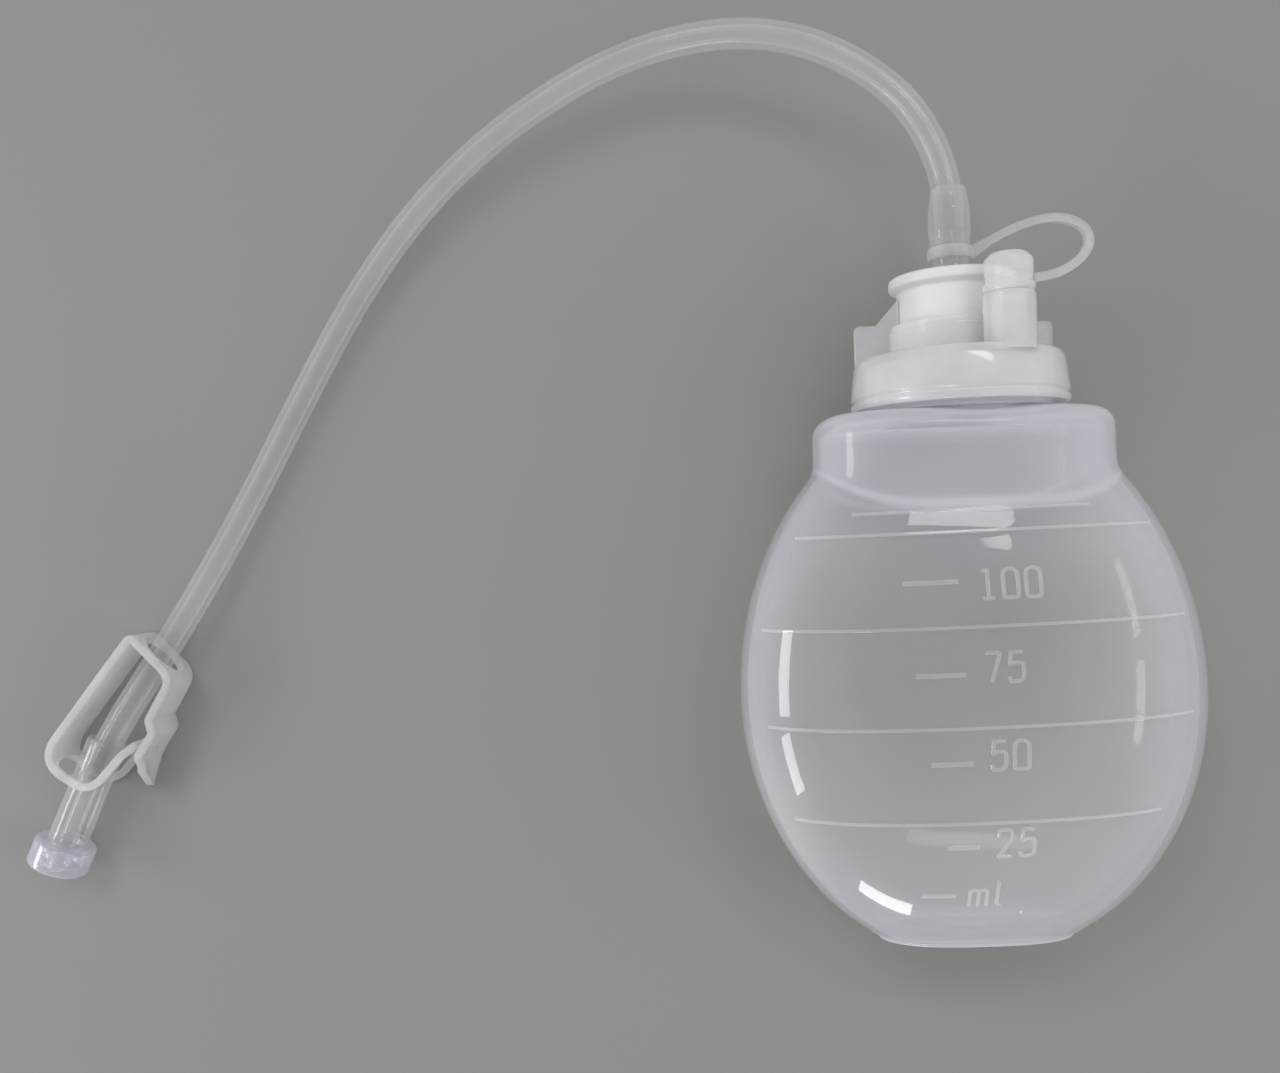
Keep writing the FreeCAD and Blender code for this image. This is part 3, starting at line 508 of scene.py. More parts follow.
@dataclass
class Bulb:
    """Hollow blow-moulded reservoir with its shoulder block and neck."""

    half_width: float = 37.6
    half_thick: float = 20.0
    widest: float = 40.3
    lower_span: float = 44.0
    lower_span_thick: float = 42.3
    upper_span: float = 48.0
    power: float = 2.5
    block_width: float = 24.0
    block_thick: float = 15.3
    block_power: float = 2.8
    block_low: float = 64.0
    shoulder: float = 86.3
    block_round: float = 3.2
    crease: float = 0.8
    neck_radius: float = 15.2
    neck_top: float = 93.8
    wall: float = 1.3
    base_round: float = 0.45
    base_lip: float = 0.15
    columns: int = 288
    block_density: float = 0.35
    crease_density: float = 0.9
    crease_width: float = 0.35
    end_density: float = 0.9
    # Painted glow: extra opacity towards the top that lightens the upper skin in place of lamp
    # light
    upper_painted_glow: float = 0.12
    dense_base: float = 2.6
    dense_top: float = 82.0

    def half_sizes(self, height: np.ndarray) -> tuple[np.ndarray, np.ndarray]:
        """Half width and half thickness of the rounded body: two ellipses that meet at the
        widest line, w = W sqrt(1 - ((h - h0) / span)^2), held just above zero past the top.

        Args:
            height: heights above the base.

        Returns:
            Half width and half thickness at each height.
        """
        rise = height - self.widest
        span_x = np.where(rise > 0, self.upper_span, self.lower_span)
        span_z = np.where(rise > 0, self.upper_span, self.lower_span_thick)
        keep_x = np.sqrt(np.maximum(1 - (rise / span_x) ** 2, 0.02))
        keep_z = np.sqrt(np.maximum(1 - (rise / span_z) ** 2, 0.02))
        return self.half_width * keep_x, self.half_thick * keep_z

    def reach(self, height: np.ndarray, turn: np.ndarray, inset: np.ndarray | float = 0.0
              ) -> np.ndarray:
        """Distance from the axis to the skin, at a height and an angle about the axis.

        The body and the block are superellipses, r = (|cos/w|^n + |sin/t|^n)^(-1/n). Above the
        block's foot the skin is their smooth greater one, (a + b + sqrt((a - b)^2 + k^2)) / 2.

        Args:
            height: heights above the base.
            turn: angles about the axis.
            inset: how far the block is drawn in, for its rounded edge.

        Returns:
            The distances.
        """
        half_x, half_z = self.half_sizes(height)
        cosine, sine = np.abs(np.cos(turn)), np.abs(np.sin(turn))
        body = ((cosine / half_x) ** self.power
                + (sine / half_z) ** self.power) ** (-1 / self.power)
        block = ((cosine / (self.block_width - inset)) ** self.block_power
                 + (sine / (self.block_thick - inset)) ** self.block_power
                 ) ** (-1 / self.block_power)
        soft = self.crease * ease((height - self.block_low) / 4.0)
        both = 0.5 * (body + block + np.sqrt((body - block) ** 2 + soft ** 2))
        return np.where(height < self.block_low, body, both)

    def skin_points(self, grow: float = 0.0) -> np.ndarray:
        """Points of the skin from the middle of the base to the neck's top.

        Args:
            grow: distance added all round, below zero for the inner wall.

        Returns:
            A grid of points, one row a height and one column an angle.
        """
        turn = 2 * np.pi * (np.arange(self.columns) + 0.5) / self.columns
        body_top = self.shoulder - self.block_round
        even = 0.5 * (1 - np.cos(np.pi * np.linspace(0, 1, 80))) * (body_top - 0.5) + 0.5
        heights = np.unique(np.round(np.concatenate([even, np.linspace(66.0, 80.0, 36)]), 3))
        heights = heights[np.concatenate([[True], np.diff(heights) > 0.12])]
        row, column = heights[:, None], turn[None, :]
        lip = self.base_lip * (1 - ease((row - 0.9) / 1.6))
        reach = self.reach(row, column) + grow + lip
        body = np.stack([reach * np.cos(column), row + 0 * column, reach * np.sin(column)], -1)
        return self._with_ends(body, turn, grow)

    def _with_ends(self, body: np.ndarray, turn: np.ndarray, grow: float) -> np.ndarray:
        """Add the flat base with its rounded edge below, and the block's rounded edge, its top
        and the neck above.

        Args:
            body: the skin between the base and the block's edge.
            turn: the columns' angles.
            grow: distance added all round.

        Returns:
            The whole grid, moved to the bulb's place in the frame.
        """
        foot = body[:1]
        swing = np.linspace(np.pi / 2, 0, 7)[:-1, None]
        start = np.hypot(foot[..., 0], foot[..., 2])
        out = unit(np.stack([foot[..., 0], 0 * foot[..., 0], foot[..., 2]], -1))
        shrink = start - self.base_round * (1 - np.cos(swing))
        base_rows = out * shrink[..., None]
        base_rows[..., 1] = foot[..., 1] * (1 - np.sin(swing)) - grow * np.sin(swing)
        share = np.linspace(0.0, 1.0, 8)[:-1, None, None]
        centre = base_rows[:1] * share
        centre[..., 1] = base_rows[:1, :, 1]
        swing = np.linspace(0, np.pi / 2, 9)[1:, None]
        drop = self.block_round * (1 - np.cos(swing))
        edge = self.reach(np.full_like(swing, self.shoulder - 0.5), turn[None, :], drop) + grow
        height = self.shoulder - self.block_round * (1 - np.sin(swing)) + grow
        top = np.stack([edge * np.cos(turn), height + 0 * turn, edge * np.sin(turn)], -1)
        neck = self.neck_radius + grow
        share = np.linspace(0, 1, 6)[1:, None]
        flat = (1 - share) * edge[-1:] + share * (neck + 0.8)
        flat_rows = np.stack([flat * np.cos(turn), height[-1] + 0 * flat, flat * np.sin(turn)], -1)
        rise = np.array([0.25, 0.8, 2.5, self.neck_top - self.shoulder - grow])[:, None]
        wide = np.array([neck + 0.25, neck, neck, neck])[:, None]
        neck_rows = np.stack([wide * np.cos(turn), height[-1] + rise + 0 * turn,
                              wide * np.sin(turn)], -1)
        grid = np.concatenate([centre, base_rows, body, top, flat_rows, neck_rows])
        return grid + np.array([0.0, BASE_Y, AXIS_Z])

    def _write_wall(self, piece: bpy.types.Object) -> None:
        """Write how much thicker than usual the wall is, from 0 to 1, into an attribute.

        With d the block's reach less the body's, it is a smooth step of d over the block and a
        ridge exp(-(d / crease width)^2) along the crease where the two meet. Both ends, where
        the blown wall stays thick, have more. The small rise towards the top is a painted glow, not
        a thicker wall: extra opacity that lightens the upper skin in place of the overhead lamp's
        light. The inner wall's faces, more than 0.6 mm below the skin, get the dull second
        material.

        Args:
            piece: the skin.
        """
        mesh = piece.data
        spots = np.zeros(len(mesh.vertices) * 3, np.float32)
        mesh.vertices.foreach_get("co", spots)
        spots = spots.reshape(-1, 3).astype(float) / MM - np.array([0.0, BASE_Y, AXIS_Z])
        height = spots[:, 1]
        turn = np.arctan2(spots[:, 2], spots[:, 0])
        half_x, half_z = self.half_sizes(height)
        cosine, sine = np.abs(np.cos(turn)), np.abs(np.sin(turn))
        body = ((cosine / half_x) ** self.power
                + (sine / half_z) ** self.power) ** (-1 / self.power)
        block = ((cosine / self.block_width) ** self.block_power
                 + (sine / self.block_thick) ** self.block_power) ** (-1 / self.block_power)
        over = np.where(height > self.block_low, block - body, -5.0)
        wall = (self.block_density * ease((over + 0.3) / 0.9)
                + self.crease_density * np.exp(-(over / self.crease_width) ** 2))
        wall = np.maximum(wall, self.end_density * ease((height - self.dense_top) / 3.0))
        wall = np.maximum(wall, self.end_density * ease((self.dense_base - height) / 2.4))
        # Painted glow: the skin grows more opaque, so lighter, towards the top, standing in for the
        # overhead lamp's light
        wall = wall + self.upper_painted_glow * ease((height - 50.0) / 20.0)
        layer = mesh.attributes.new("wall", "FLOAT", "POINT")
        layer.data.foreach_set("value", np.clip(wall, 0, 1).astype(np.float32))
        skin = np.where(height > self.shoulder + 0.5, self.neck_radius, self.reach(height, turn))
        deep = (skin - np.hypot(spots[:, 0], spots[:, 2]) > 0.6) & (height > 0.9)
        deep &= (height < self.shoulder - 0.6) | (height > self.shoulder + 0.5)
        corner = np.zeros(len(mesh.loops), np.int32)
        mesh.loops.foreach_get("vertex_index", corner)
        start = np.zeros(len(mesh.polygons), np.int32)
        mesh.polygons.foreach_get("loop_start", start)
        inside = np.minimum.reduceat(deep[corner].astype(np.int32), start)
        mesh.polygons.foreach_set("material_index", inside)

    def front(self, across: np.ndarray, height: np.ndarray) -> np.ndarray:
        """Height above the table of the front skin, from the body's superellipse alone.

        Args:
            across: places across.
            height: heights above the base.

        Returns:
            z of the skin.
        """
        half_x, half_z = self.half_sizes(height)
        inside = np.maximum(1 - np.abs(across / half_x) ** self.power, 1e-4)
        return AXIS_Z + half_z * inside ** (1 / self.power)

    def build(self) -> bpy.types.Object:
        """The two walls of the hollow shell, joined at the neck's rim.

        Returns:
            The skin's object.
        """
        points = np.concatenate([self.skin_points(), self.skin_points(-self.wall)[::-1]])
        piece = make_piece("bulb_skin", points, grid_faces(len(points), self.columns, True), 50.0)
        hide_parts("bulb")
        dress(piece, BULB_SKIN.material(), Slot.BULB)
        piece.data.materials.append(BULB_INSIDE.material())
        self._write_wall(piece)
        return piece


# Each sign's strokes: across, up and rounding of every corner; a stroke that ends where it starts
# is a ring
Stroke = tuple[tuple[float, float, float], ...]
SIGNS: dict[str, tuple[Stroke, ...]] = {
    "0": (((1.1, 0, 0), (2.2, 0, 1.08), (2.2, 4.3, 1.08), (0, 4.3, 1.08), (0, 0, 1.08),
           (1.1, 0, 0)),),
    "1": (((0.3, 3.95, 0), (1.15, 4.3, 0.1), (1.15, 0, 0)), ((0.25, 0, 0), (2.05, 0, 0))),
    "2": (((0.05, 3.2, 0), (0.05, 4.3, 1.0), (2.1, 4.3, 1.0), (2.1, 2.7, 0.8), (0.1, 0, 0.1),
           (2.2, 0, 0)),),
    "5": (((2.0, 4.3, 0), (0.3, 4.3, 0.08), (0.12, 2.4, 0.1), (0.8, 2.75, 0.5), (2.15, 2.75, 1.0),
           (2.15, 0, 1.05), (0.1, 0, 0.9), (0.02, 0.8, 0)),),
    "7": (((0.0, 4.3, 0), (2.2, 4.3, 0.1), (0.8, 0, 0)),),
    "m": (((0, 0, 0), (0, 2.7, 0)), ((0, 1.9, 0), (0, 2.7, 0.5), (1.3, 2.7, 0.5), (1.3, 0, 0)),
          ((1.3, 1.9, 0), (1.3, 2.7, 0.5), (2.6, 2.7, 0.5), (2.6, 0, 0))),
    "l": (((0, 4.0, 0), (0.35, 4.0, 0.1), (0.35, 0, 0.4), (1.0, 0.05, 0)),)}
SIGN_WIDTH: dict[str, float] = {"0": 2.2, "1": 2.2, "2": 2.2, "5": 2.15, "7": 2.2, "m": 2.6,
                                "l": 1.0}
HALF_SIGN = 2.15


@dataclass
class Graduations:
    """Raised lines, ticks and numbers on the bulb's front, all flat-topped ridges."""

    bulb: Bulb
    slope: float = 0.9
    stroke: float = 0.58
    rise: float = 0.2
    line_width: float = 0.5
    tick_width: float = 0.75
    gap: float = 1.25
    lines: tuple[tuple[float, float, float], ...] = (
        (23.0, -30.6, 24.6), (37.6, -34.3, 30.3), (52.6, -34.6, 29.9), (66.9, -28.9, 26.1),
        (70.2, -20.8, 15.4))
    ticks: tuple[tuple[float, float, float], ...] = (
        (19.2, -8.7, -3.8), (32.3, -11.3, -5.2), (45.6, -13.2, -5.9), (59.4, -14.4, -6.2),
        (11.0, -12.0, -6.9), (7.5, 3.2, 3.6))
    words: tuple[tuple[str, float, float], ...] = (
        ("100", 1.6, 58.9), ("75", -0.1, 46.5), ("50", 0.4, 33.4), ("25", 1.6, 19.7),
        ("ml", -2.3, 11.3))

    def ridge(self, track: np.ndarray, width: float) -> tuple[np.ndarray, np.ndarray]:
        """A ridge laid on the front skin along a track.

        With n the skin's own normal, t the track's direction and s = t x n, the section is
        s w u + n h v for a flat top that falls away steeply at both sides into the skin.

        Args:
            track: points across and up; one that ends where it starts is closed.
            width: the ridge's width at its foot.

        Returns:
            Its points and faces.
        """
        front, step = self.bulb.front, 0.05
        x, up = track[:, 0], track[:, 1]
        slope_x = (front(x + step, up) - front(x - step, up)) / (2 * step)
        slope_up = (front(x, up + step) - front(x, up - step)) / (2 * step)
        normal = unit(np.stack([-slope_x, -slope_up, 1 + 0 * x], -1))
        spots = np.stack([x, BASE_Y + up, front(x, up)], -1)
        ring = bool(np.allclose(track[0], track[-1]))
        around = np.concatenate([spots[-2:-1], spots, spots[1:2]]) if ring else None
        along = unit(around[2:] - around[:-2]) if ring else unit(np.gradient(spots, axis=0))
        side = unit(np.cross(along, normal))
        u = width * np.array([-0.5, -0.45, -0.3, 0.0, 0.3, 0.45, 0.5])
        v = np.array([-0.08, 0.6 * self.rise, self.rise, self.rise, self.rise, 0.6 * self.rise,
                      -0.08])
        points = (spots[:, None] + side[:, None] * u[None, :, None]
                  + normal[:, None] * v[None, :, None])
        points = points if ring else closed_ends(points)
        return points.reshape(-1, 3), grid_faces(len(points), len(u), True)

    def _piece(self, name: str, ridges: list[tuple[np.ndarray, np.ndarray]]) -> bpy.types.Object:
        """One piece from several ridges.

        Args:
            name: its name.
            ridges: each ridge's points and faces.

        Returns:
            The piece.
        """
        starts = np.cumsum([0] + [len(points) for points, _ in ridges])
        faces = np.concatenate([faces + start for (_, faces), start in zip(ridges, starts)])
        points = np.concatenate([points for points, _ in ridges])
        return dress(make_piece(name, points, faces, 30.0), BULB_MARK.material(), Slot.BULB)

    def bar(self, height: float, left: float, right: float, width: float
            ) -> tuple[np.ndarray, np.ndarray]:
        """A straight ridge from left to right that climbs with the lines' slope.

        Args:
            height: its height above the base at the middle of the bulb.
            left: its left end.
            right: its right end.
            width: its width.

        Returns:
            Its points and faces.
        """
        x = np.linspace(left, right, max(int((right - left) / 0.5), 3))
        return self.ridge(np.stack([x, height + math.tan(math.radians(self.slope)) * x], -1), width)

    def word(self, text: str, across: float, height: float) -> list[tuple[np.ndarray, np.ndarray]]:
        """The ridges of a number or word, its signs set side by side about its middle.

        Args:
            text: the number.
            across: the place of its middle across.
            height: the height of its middle above the base.

        Returns:
            Points and faces of each stroke.
        """
        widths = [SIGN_WIDTH[sign] for sign in text]
        starts = np.cumsum([0.0] + [width + self.gap for width in widths])
        left = across - 0.5 * (starts[-1] - self.gap)
        lean = math.tan(math.radians(self.slope))
        ridges = []
        for sign, start in zip(text, starts):
            for stroke in SIGNS[sign]:
                track = softened(list(stroke), 7) + np.array([left + start, height - HALF_SIGN])
                track[:, 1] += lean * (track[:, 0] - across)
                ridges.append(self.ridge(track, self.stroke))
        return ridges

    def build(self) -> list[bpy.types.Object]:
        """The lines, the ticks and each number as pieces.

        Returns:
            The pieces.
        """
        pieces = [
            self._piece("raised_lines", [self.bar(*line, self.line_width) for line in self.lines]),
            self._piece("ticks", [self.bar(*tick, self.tick_width) for tick in self.ticks])]
        return pieces + [self._piece("number_%s" % text, self.word(text, across, height))
                         for text, across, height in self.words]


# Cap, stopper and inlet

@dataclass
class Cap:
    """Translucent cap: ring with a domed shoulder, boss, outlet port and two grip wings."""

    ring_radius: float = 17.6
    ring_low: float = 87.1
    plate_top: float = 95.6
    boss_radius: float = 10.69
    boss_top: float = 101.3
    port_radius: float = 4.0
    port_bore: float = 2.7
    port_top: float = 103.4
    wing_half: float = 16.6
    wing_thick: float = 1.6
    wing_root: float = 10.2
    wing_low: float = 94.7
    wing_top: float = 101.6
    gusset_out: float = 13.0
    gusset_in: float = 9.05
    gusset_low: float = 101.0
    gusset_top: float = 106.0

    def shell(self) -> bpy.types.Object:
        """Ring, top plate and boss in one turned shell whose axis drops from the bulb's to the
        inlet's between the ring and the boss.

        Returns:
            The shell's object.
        """
        ring, low, top, boss = self.ring_radius, self.ring_low, self.plate_top, self.boss_radius
        corners = [
            (15.45, low, 0), (ring - 0.3, low, 0.3), (ring, low + 0.5, 0.3), (ring, low + 1.1, 0.2),
            (ring - 0.35, low + 1.4, 0.15), (ring - 0.35, low + 1.65, 0.15),
            (ring - 0.02, low + 1.95, 0.2), (ring - 0.4, top - 3.2, 1.2), (ring - 0.8, top, 3.0),
            (boss + 0.35, top, 0.4), (boss, top + 0.8, 0.4), (boss, self.boss_top - 1.2, 0.1),
            (boss - 0.22, self.boss_top - 1.05, 0.1), (boss - 0.22, self.boss_top, 0.25),
            (9.75, self.boss_top, 0.2), (9.7, 94.15, 0.2), (15.45, 94.15, 0.3), (15.45, low, 0)]
        return dress(turned("cap_shell", corners, count=144, shift=True), CAP_SKIN.material(),
                     Slot.CAP)

    def port(self) -> bpy.types.Object:
        """The outlet port, a tube with a rounded rim and a foot on the plate.

        Returns:
            The port's object.
        """
        wide, bore, top = self.port_radius, self.port_bore, self.port_top
        return dress(turned("outlet_port", [
            (bore, 94.4, 0), (wide, 94.4, 0), (wide, top - 0.6, 0.1), (wide - 0.15, top, 0.3),
            (bore, top, 0.2), (bore, 94.4, 0)], PORT_X, PORT_Z), CAP_SKIN.material(), Slot.CAP)

    def wing(self, side: int) -> bpy.types.Object:
        """A flat wing with a small gusset up to the stopper: a rounded outline between two faces
        whose edge is rounded over.

        Args:
            side: -1 for the left wing, 1 for the right one.

        Returns:
            The wing's object.
        """
        half, thick = self.wing_half, 0.5 * self.wing_thick
        outline = softened([
            (self.wing_root, self.wing_low, 0), (half, self.wing_low, 0.2),
            (half, self.wing_top, 1.0), (self.gusset_out, self.wing_top, 0.4),
            (self.gusset_in, self.gusset_top, 0.1), (self.gusset_in, self.gusset_low, 0.1),
            (self.wing_root, self.wing_low, 0)], 6)[:-1]
        middle = np.array([13.0, 98.0])
        inner = middle + (outline - middle) * 0.965
        rings = [(middle + 0 * outline, -thick), (inner, -thick), (outline, -thick + 0.25),
                 (outline, thick - 0.25), (inner, thick), (middle + 0 * outline, thick)]
        points = np.stack([np.stack([side * flat[:, 0], BASE_Y + flat[:, 1],
                                     INLET_Z + depth + 0 * flat[:, 0]], -1)
                           for flat, depth in rings])
        name = "wing_left" if side < 0 else "wing_right"
        return dress(make_piece(name, points, grid_faces(len(points), len(outline), True)),
                     WING_SKIN.material(), Slot.CAP)

    def build(self) -> list[bpy.types.Object]:
        """The shell, the port and the wings, which stand for the cap's solid.

        Returns:
            The pieces.
        """
        pieces = [self.shell(), self.port(), self.wing(-1), self.wing(1)]
        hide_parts("port_cap")
        return pieces


@dataclass
class Inlet:
    """White stopper in the cap's boss, with its nipple, ring and clear sleeve."""

    stopper_radius: float = 9.25
    flange_radius: float = 10.3
    stopper_low: float = 94.0
    pocket_radius: float = 5.0
    pocket_top: float = 99.0
    stub_hole: float = 2.25
    flange_low: float = 107.6
    flange_top: float = 109.3
    nipple_radius: float = 3.0
    stem_radius: float = 2.45
    bore: float = 1.4
    sleeve_low: float = 114.4
    sleeve_top: float = 124.3
    sleeve_radius: float = 3.5

    def stopper(self) -> bpy.types.Object:
        """The stopper: a drawn-in barrel under a rounded flange, hollow for its valve.

        Returns:
            The stopper's object.
        """
        body, flange, top, hole = (self.stopper_radius, self.flange_radius, self.flange_top,
                                   self.stub_hole)
        pocket, roof, low = self.pocket_radius, self.pocket_top, self.stopper_low
        piece = turned("stopper", [
            (hole, roof, 0), (pocket, roof, 0.2), (pocket, low, 0.2), (body - 0.5, low, 0.3),
            (body, 95.0, 0.6), (body, 101.6, 0.1), (body - 0.25, 102.0, 0.2),
            (body - 0.25, 106.9, 0.6), (flange, self.flange_low, 0.5), (flange, top, 0.55),
            (8.6, top, 0.3), (8.2, top - 0.35, 0.3), (3.4, top - 0.35, 0.2), (3.3, top, 0.2),
            (hole, top, 0), (hole, roof, 0)], count=112)
        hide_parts("inlet_stopper")
        return dress(piece, WHITE.material(), Slot.WHITE)

    def nipple(self) -> bpy.types.Object:
        """The clear stub between the stopper and the sleeve.

        Returns:
            The nipple's object.
        """
        wide, stem, bore, low = self.nipple_radius, self.stem_radius, self.bore, self.pocket_top
        piece = turned("nipple", [
            (bore, low, 0), (2.2, low, 0.1), (2.2, 109.25, 0), (wide, 109.4, 0.2),
            (wide - 0.2, 111.2, 0.3), (wide, 112.2, 0.2), (wide, self.sleeve_low, 0.1),
            (stem, 114.5, 0.1), (stem - 0.1, 117.0, 0.3), (bore, 117.0, 0.1), (bore, low, 0)])
        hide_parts("inlet_nipple")
        return dress(piece, CLEAR.material(), Slot.CLEAR)

    def sleeve(self) -> bpy.types.Object:
        """The clear sleeve: a barrel that swells below its waist and draws in to its lip.

        Returns:
            The sleeve's object.
        """
        wide, low, top = self.sleeve_radius, self.sleeve_low, self.sleeve_top
        piece = turned("sleeve", [
            (2.5, low + 0.02, 0.1), (wide - 0.15, low + 0.02, 0.4), (wide - 0.2, low + 1.2, 0.6),
            (wide, low + 2.6, 1.5), (wide, low + 6.0, 3.0), (wide - 0.35, low + 8.0, 2.0),
            (2.95, top, 0.25), (2.62, top, 0.1), (2.52, top - 3.4, 0.4), (2.5, low + 2.7, 0.1),
            (2.5, low + 0.02, 0.1)])
        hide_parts("connector_sleeve")
        return dress(piece, CLEAR.material(), Slot.CLEAR)

    def dress_all(self) -> list[bpy.types.Object]:
        """Build the stopper, nipple and sleeve."""
        return [self.stopper(), self.nipple(), self.sleeve()]


@dataclass
class Outlet:
    """Plug in the outlet port, and the flat tether that keeps it on the inlet."""

    port_top: float = 103.4
    shank_radius: float = 2.62
    shank_low: float = 96.4
    hollow: float = 1.6
    collar_radius: float = 3.95
    head_radius: float = 3.7
    head_top: float = 109.7
    ring_low: float = 112.3
    ring_top: float = 114.4
    ring_inner: float = 3.02
    ring_outer: float = 3.87
    strap_width: float = 1.4
    strap_thick: float = 0.9
    strap: tuple[tuple[float, float, float], ...] = (
        (3.3, 113.4, 18.0), (6.7, 115.4, 19.5), (11.0, 117.1, 21.6), (14.6, 117.5, 23.6),
        (17.5, 116.6, 25.4), (19.2, 114.4, 27.4), (18.9, 111.6, 29.2), (16.8, 108.9, 30.8),
        (13.7, 106.9, 32.0), (10.9, 105.9, 32.8), (8.5, 105.6, 33.0))

    def plug(self) -> bpy.types.Object:
        """The plug: shank, collar, and a grooved head with a domed top.

        Returns:
            The plug's object.
        """
        head, shank, hollow, collar = (self.head_radius, self.shank_radius, self.hollow,
                                       self.collar_radius)
        low, rim, top = self.shank_low, self.port_top, self.head_top
        piece = turned("plug_head", [
            (0.0, rim, 0), (hollow, rim, 0.2), (hollow, low, 0.1), (2.5, low, 0.3),
            (shank, low + 1.6, 0.3), (shank, rim + 0.02, 0), (collar - 0.2, rim + 0.04, 0.2),
            (collar, rim + 0.5, 0.3), (collar, rim + 1.2, 0.3), (head - 0.15, rim + 1.5, 0.3),
            (head - 0.15, rim + 2.6, 0.3), (head, rim + 3.0, 0.3), (head, top - 1.2, 0.9),
            (head - 1.0, top - 0.2, 0.9), (1.6, top, 1.0), (0.0, top, 0)], PORT_X, PORT_Z)
        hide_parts("port_plug")
        return dress(piece, PLUG.material(), Slot.PLUG, Body.PLUG)

    def ring(self) -> bpy.types.Object:
        """The tether's ring, a bulged band round the nipple.

        Returns:
            The ring's object.
        """
        inner, outer, low, top = self.ring_inner, self.ring_outer, self.ring_low, self.ring_top
        return dress(turned("tether_ring", [
            (inner, low, 0.1), (outer - 0.3, low, 0.3), (outer, low + 0.7, 0.5),
            (outer, top - 0.7, 0.5), (outer - 0.3, top, 0.3), (inner, top, 0.1),
            (inner, low, 0.1)]),
            TETHER.material(), Slot.PLUG)

    def tether(self) -> bpy.types.Object:
        """The strap: a band with raised edges carried along its smooth line.

        The section is x = w u and z = t (0.62 + 0.38 u^4) sgn over u from -1 to 1 on both faces,
        which leaves a shallow groove down the middle.

        Returns:
            The strap's object.
        """
        path = smooth_line([(x, BASE_Y + a, z) for x, a, z in self.strap], 110)
        frame = path_frame(path)
        u = np.linspace(-1, 1, 9)
        edge = 0.5 * self.strap_thick * (0.62 + 0.38 * u ** 4)
        wide = 0.5 * self.strap_width * np.sign(u) * np.abs(u) ** 0.8
        section = np.concatenate([np.stack([wide, edge], -1), np.stack([wide, -edge], -1)[::-1]])
        flare = 1 + 0.45 * ease(1 - np.linspace(0, 1, len(path)) / 0.12)
        points = (path[:, None] + frame[0][:, None] * (section[:, 0] * flare[:, None])[..., None]
                  + frame[1][:, None] * section[:, 1][None, :, None])
        points = closed_ends(points)
        piece = make_piece("tether_strap", points, grid_faces(len(points), len(section), True))
        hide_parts("plug_tether")
        dress(piece, TETHER.material(), Slot.PLUG, None)
        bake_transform(piece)
        return piece

    def dress_all(self) -> list[bpy.types.Object]:
        """Build the plug, the ring and the strap."""
        return [self.plug(), self.ring(), self.tether()]


def smooth_line(spots: list[tuple[float, float, float]], count: int) -> np.ndarray:
    """Evenly spaced points along the smooth spline that has these control points.

    Args:
        spots: the spline's control points, in millimetres.
        count: how many points to give.

    Returns:
        The points, in millimetres.
    """
    curve = bpy.data.curves.new("line", "CURVE")
    curve.dimensions = "3D"
    spline = curve.splines.new("NURBS")
    spline.points.add(len(spots) - 1)
    spline.points.foreach_set("co", np.c_[np.array(spots) * MM, np.ones(len(spots))].ravel())
    spline.order_u = 3
    spline.use_endpoint_u = True
    curve.resolution_u = 24
    holder = bpy.data.objects.new("line", curve)
    bpy.context.scene.collection.objects.link(holder)
    bpy.context.view_layer.update()
    mesh = bpy.data.meshes.new_from_object(holder.evaluated_get(
        bpy.context.evaluated_depsgraph_get()))
    points = np.zeros(len(mesh.vertices) * 3, np.float32)
    mesh.vertices.foreach_get("co", points)
    points = points.reshape(-1, 3).astype(float) / MM
    bpy.data.objects.remove(holder)
    bpy.data.meshes.remove(mesh)
    length = np.r_[0, np.cumsum(np.linalg.norm(np.diff(points, axis=0), axis=1))]
    even = np.linspace(0, length[-1], count)
    return np.stack([np.interp(even, length, points[:, k]) for k in range(3)], -1)


def path_frame(path: np.ndarray) -> tuple[np.ndarray, np.ndarray]:
    """Two directions square to a path at each of its points: level, and the third one.

    Args:
        path: points along the path, nowhere upright.

    Returns:
        The level directions and the ones square to them.
    """
    along = unit(np.gradient(path, axis=0))
    level = unit(np.cross(along, np.array([0.0, 0.0, 1.0])))
    return level, np.cross(level, along)


def closed_ends(points: np.ndarray) -> np.ndarray:
    """A grid of rings with a point at each end, repeated round the ring, to close it.

    Args:
        points: rings of points.

    Returns:
        The rings with the two end rows.
    """
    first = np.repeat(points[:1].mean(1, keepdims=True), points.shape[1], 1)
    last = np.repeat(points[-1:].mean(1, keepdims=True), points.shape[1], 1)
    return np.concatenate([first, points, last])


# Drain tube

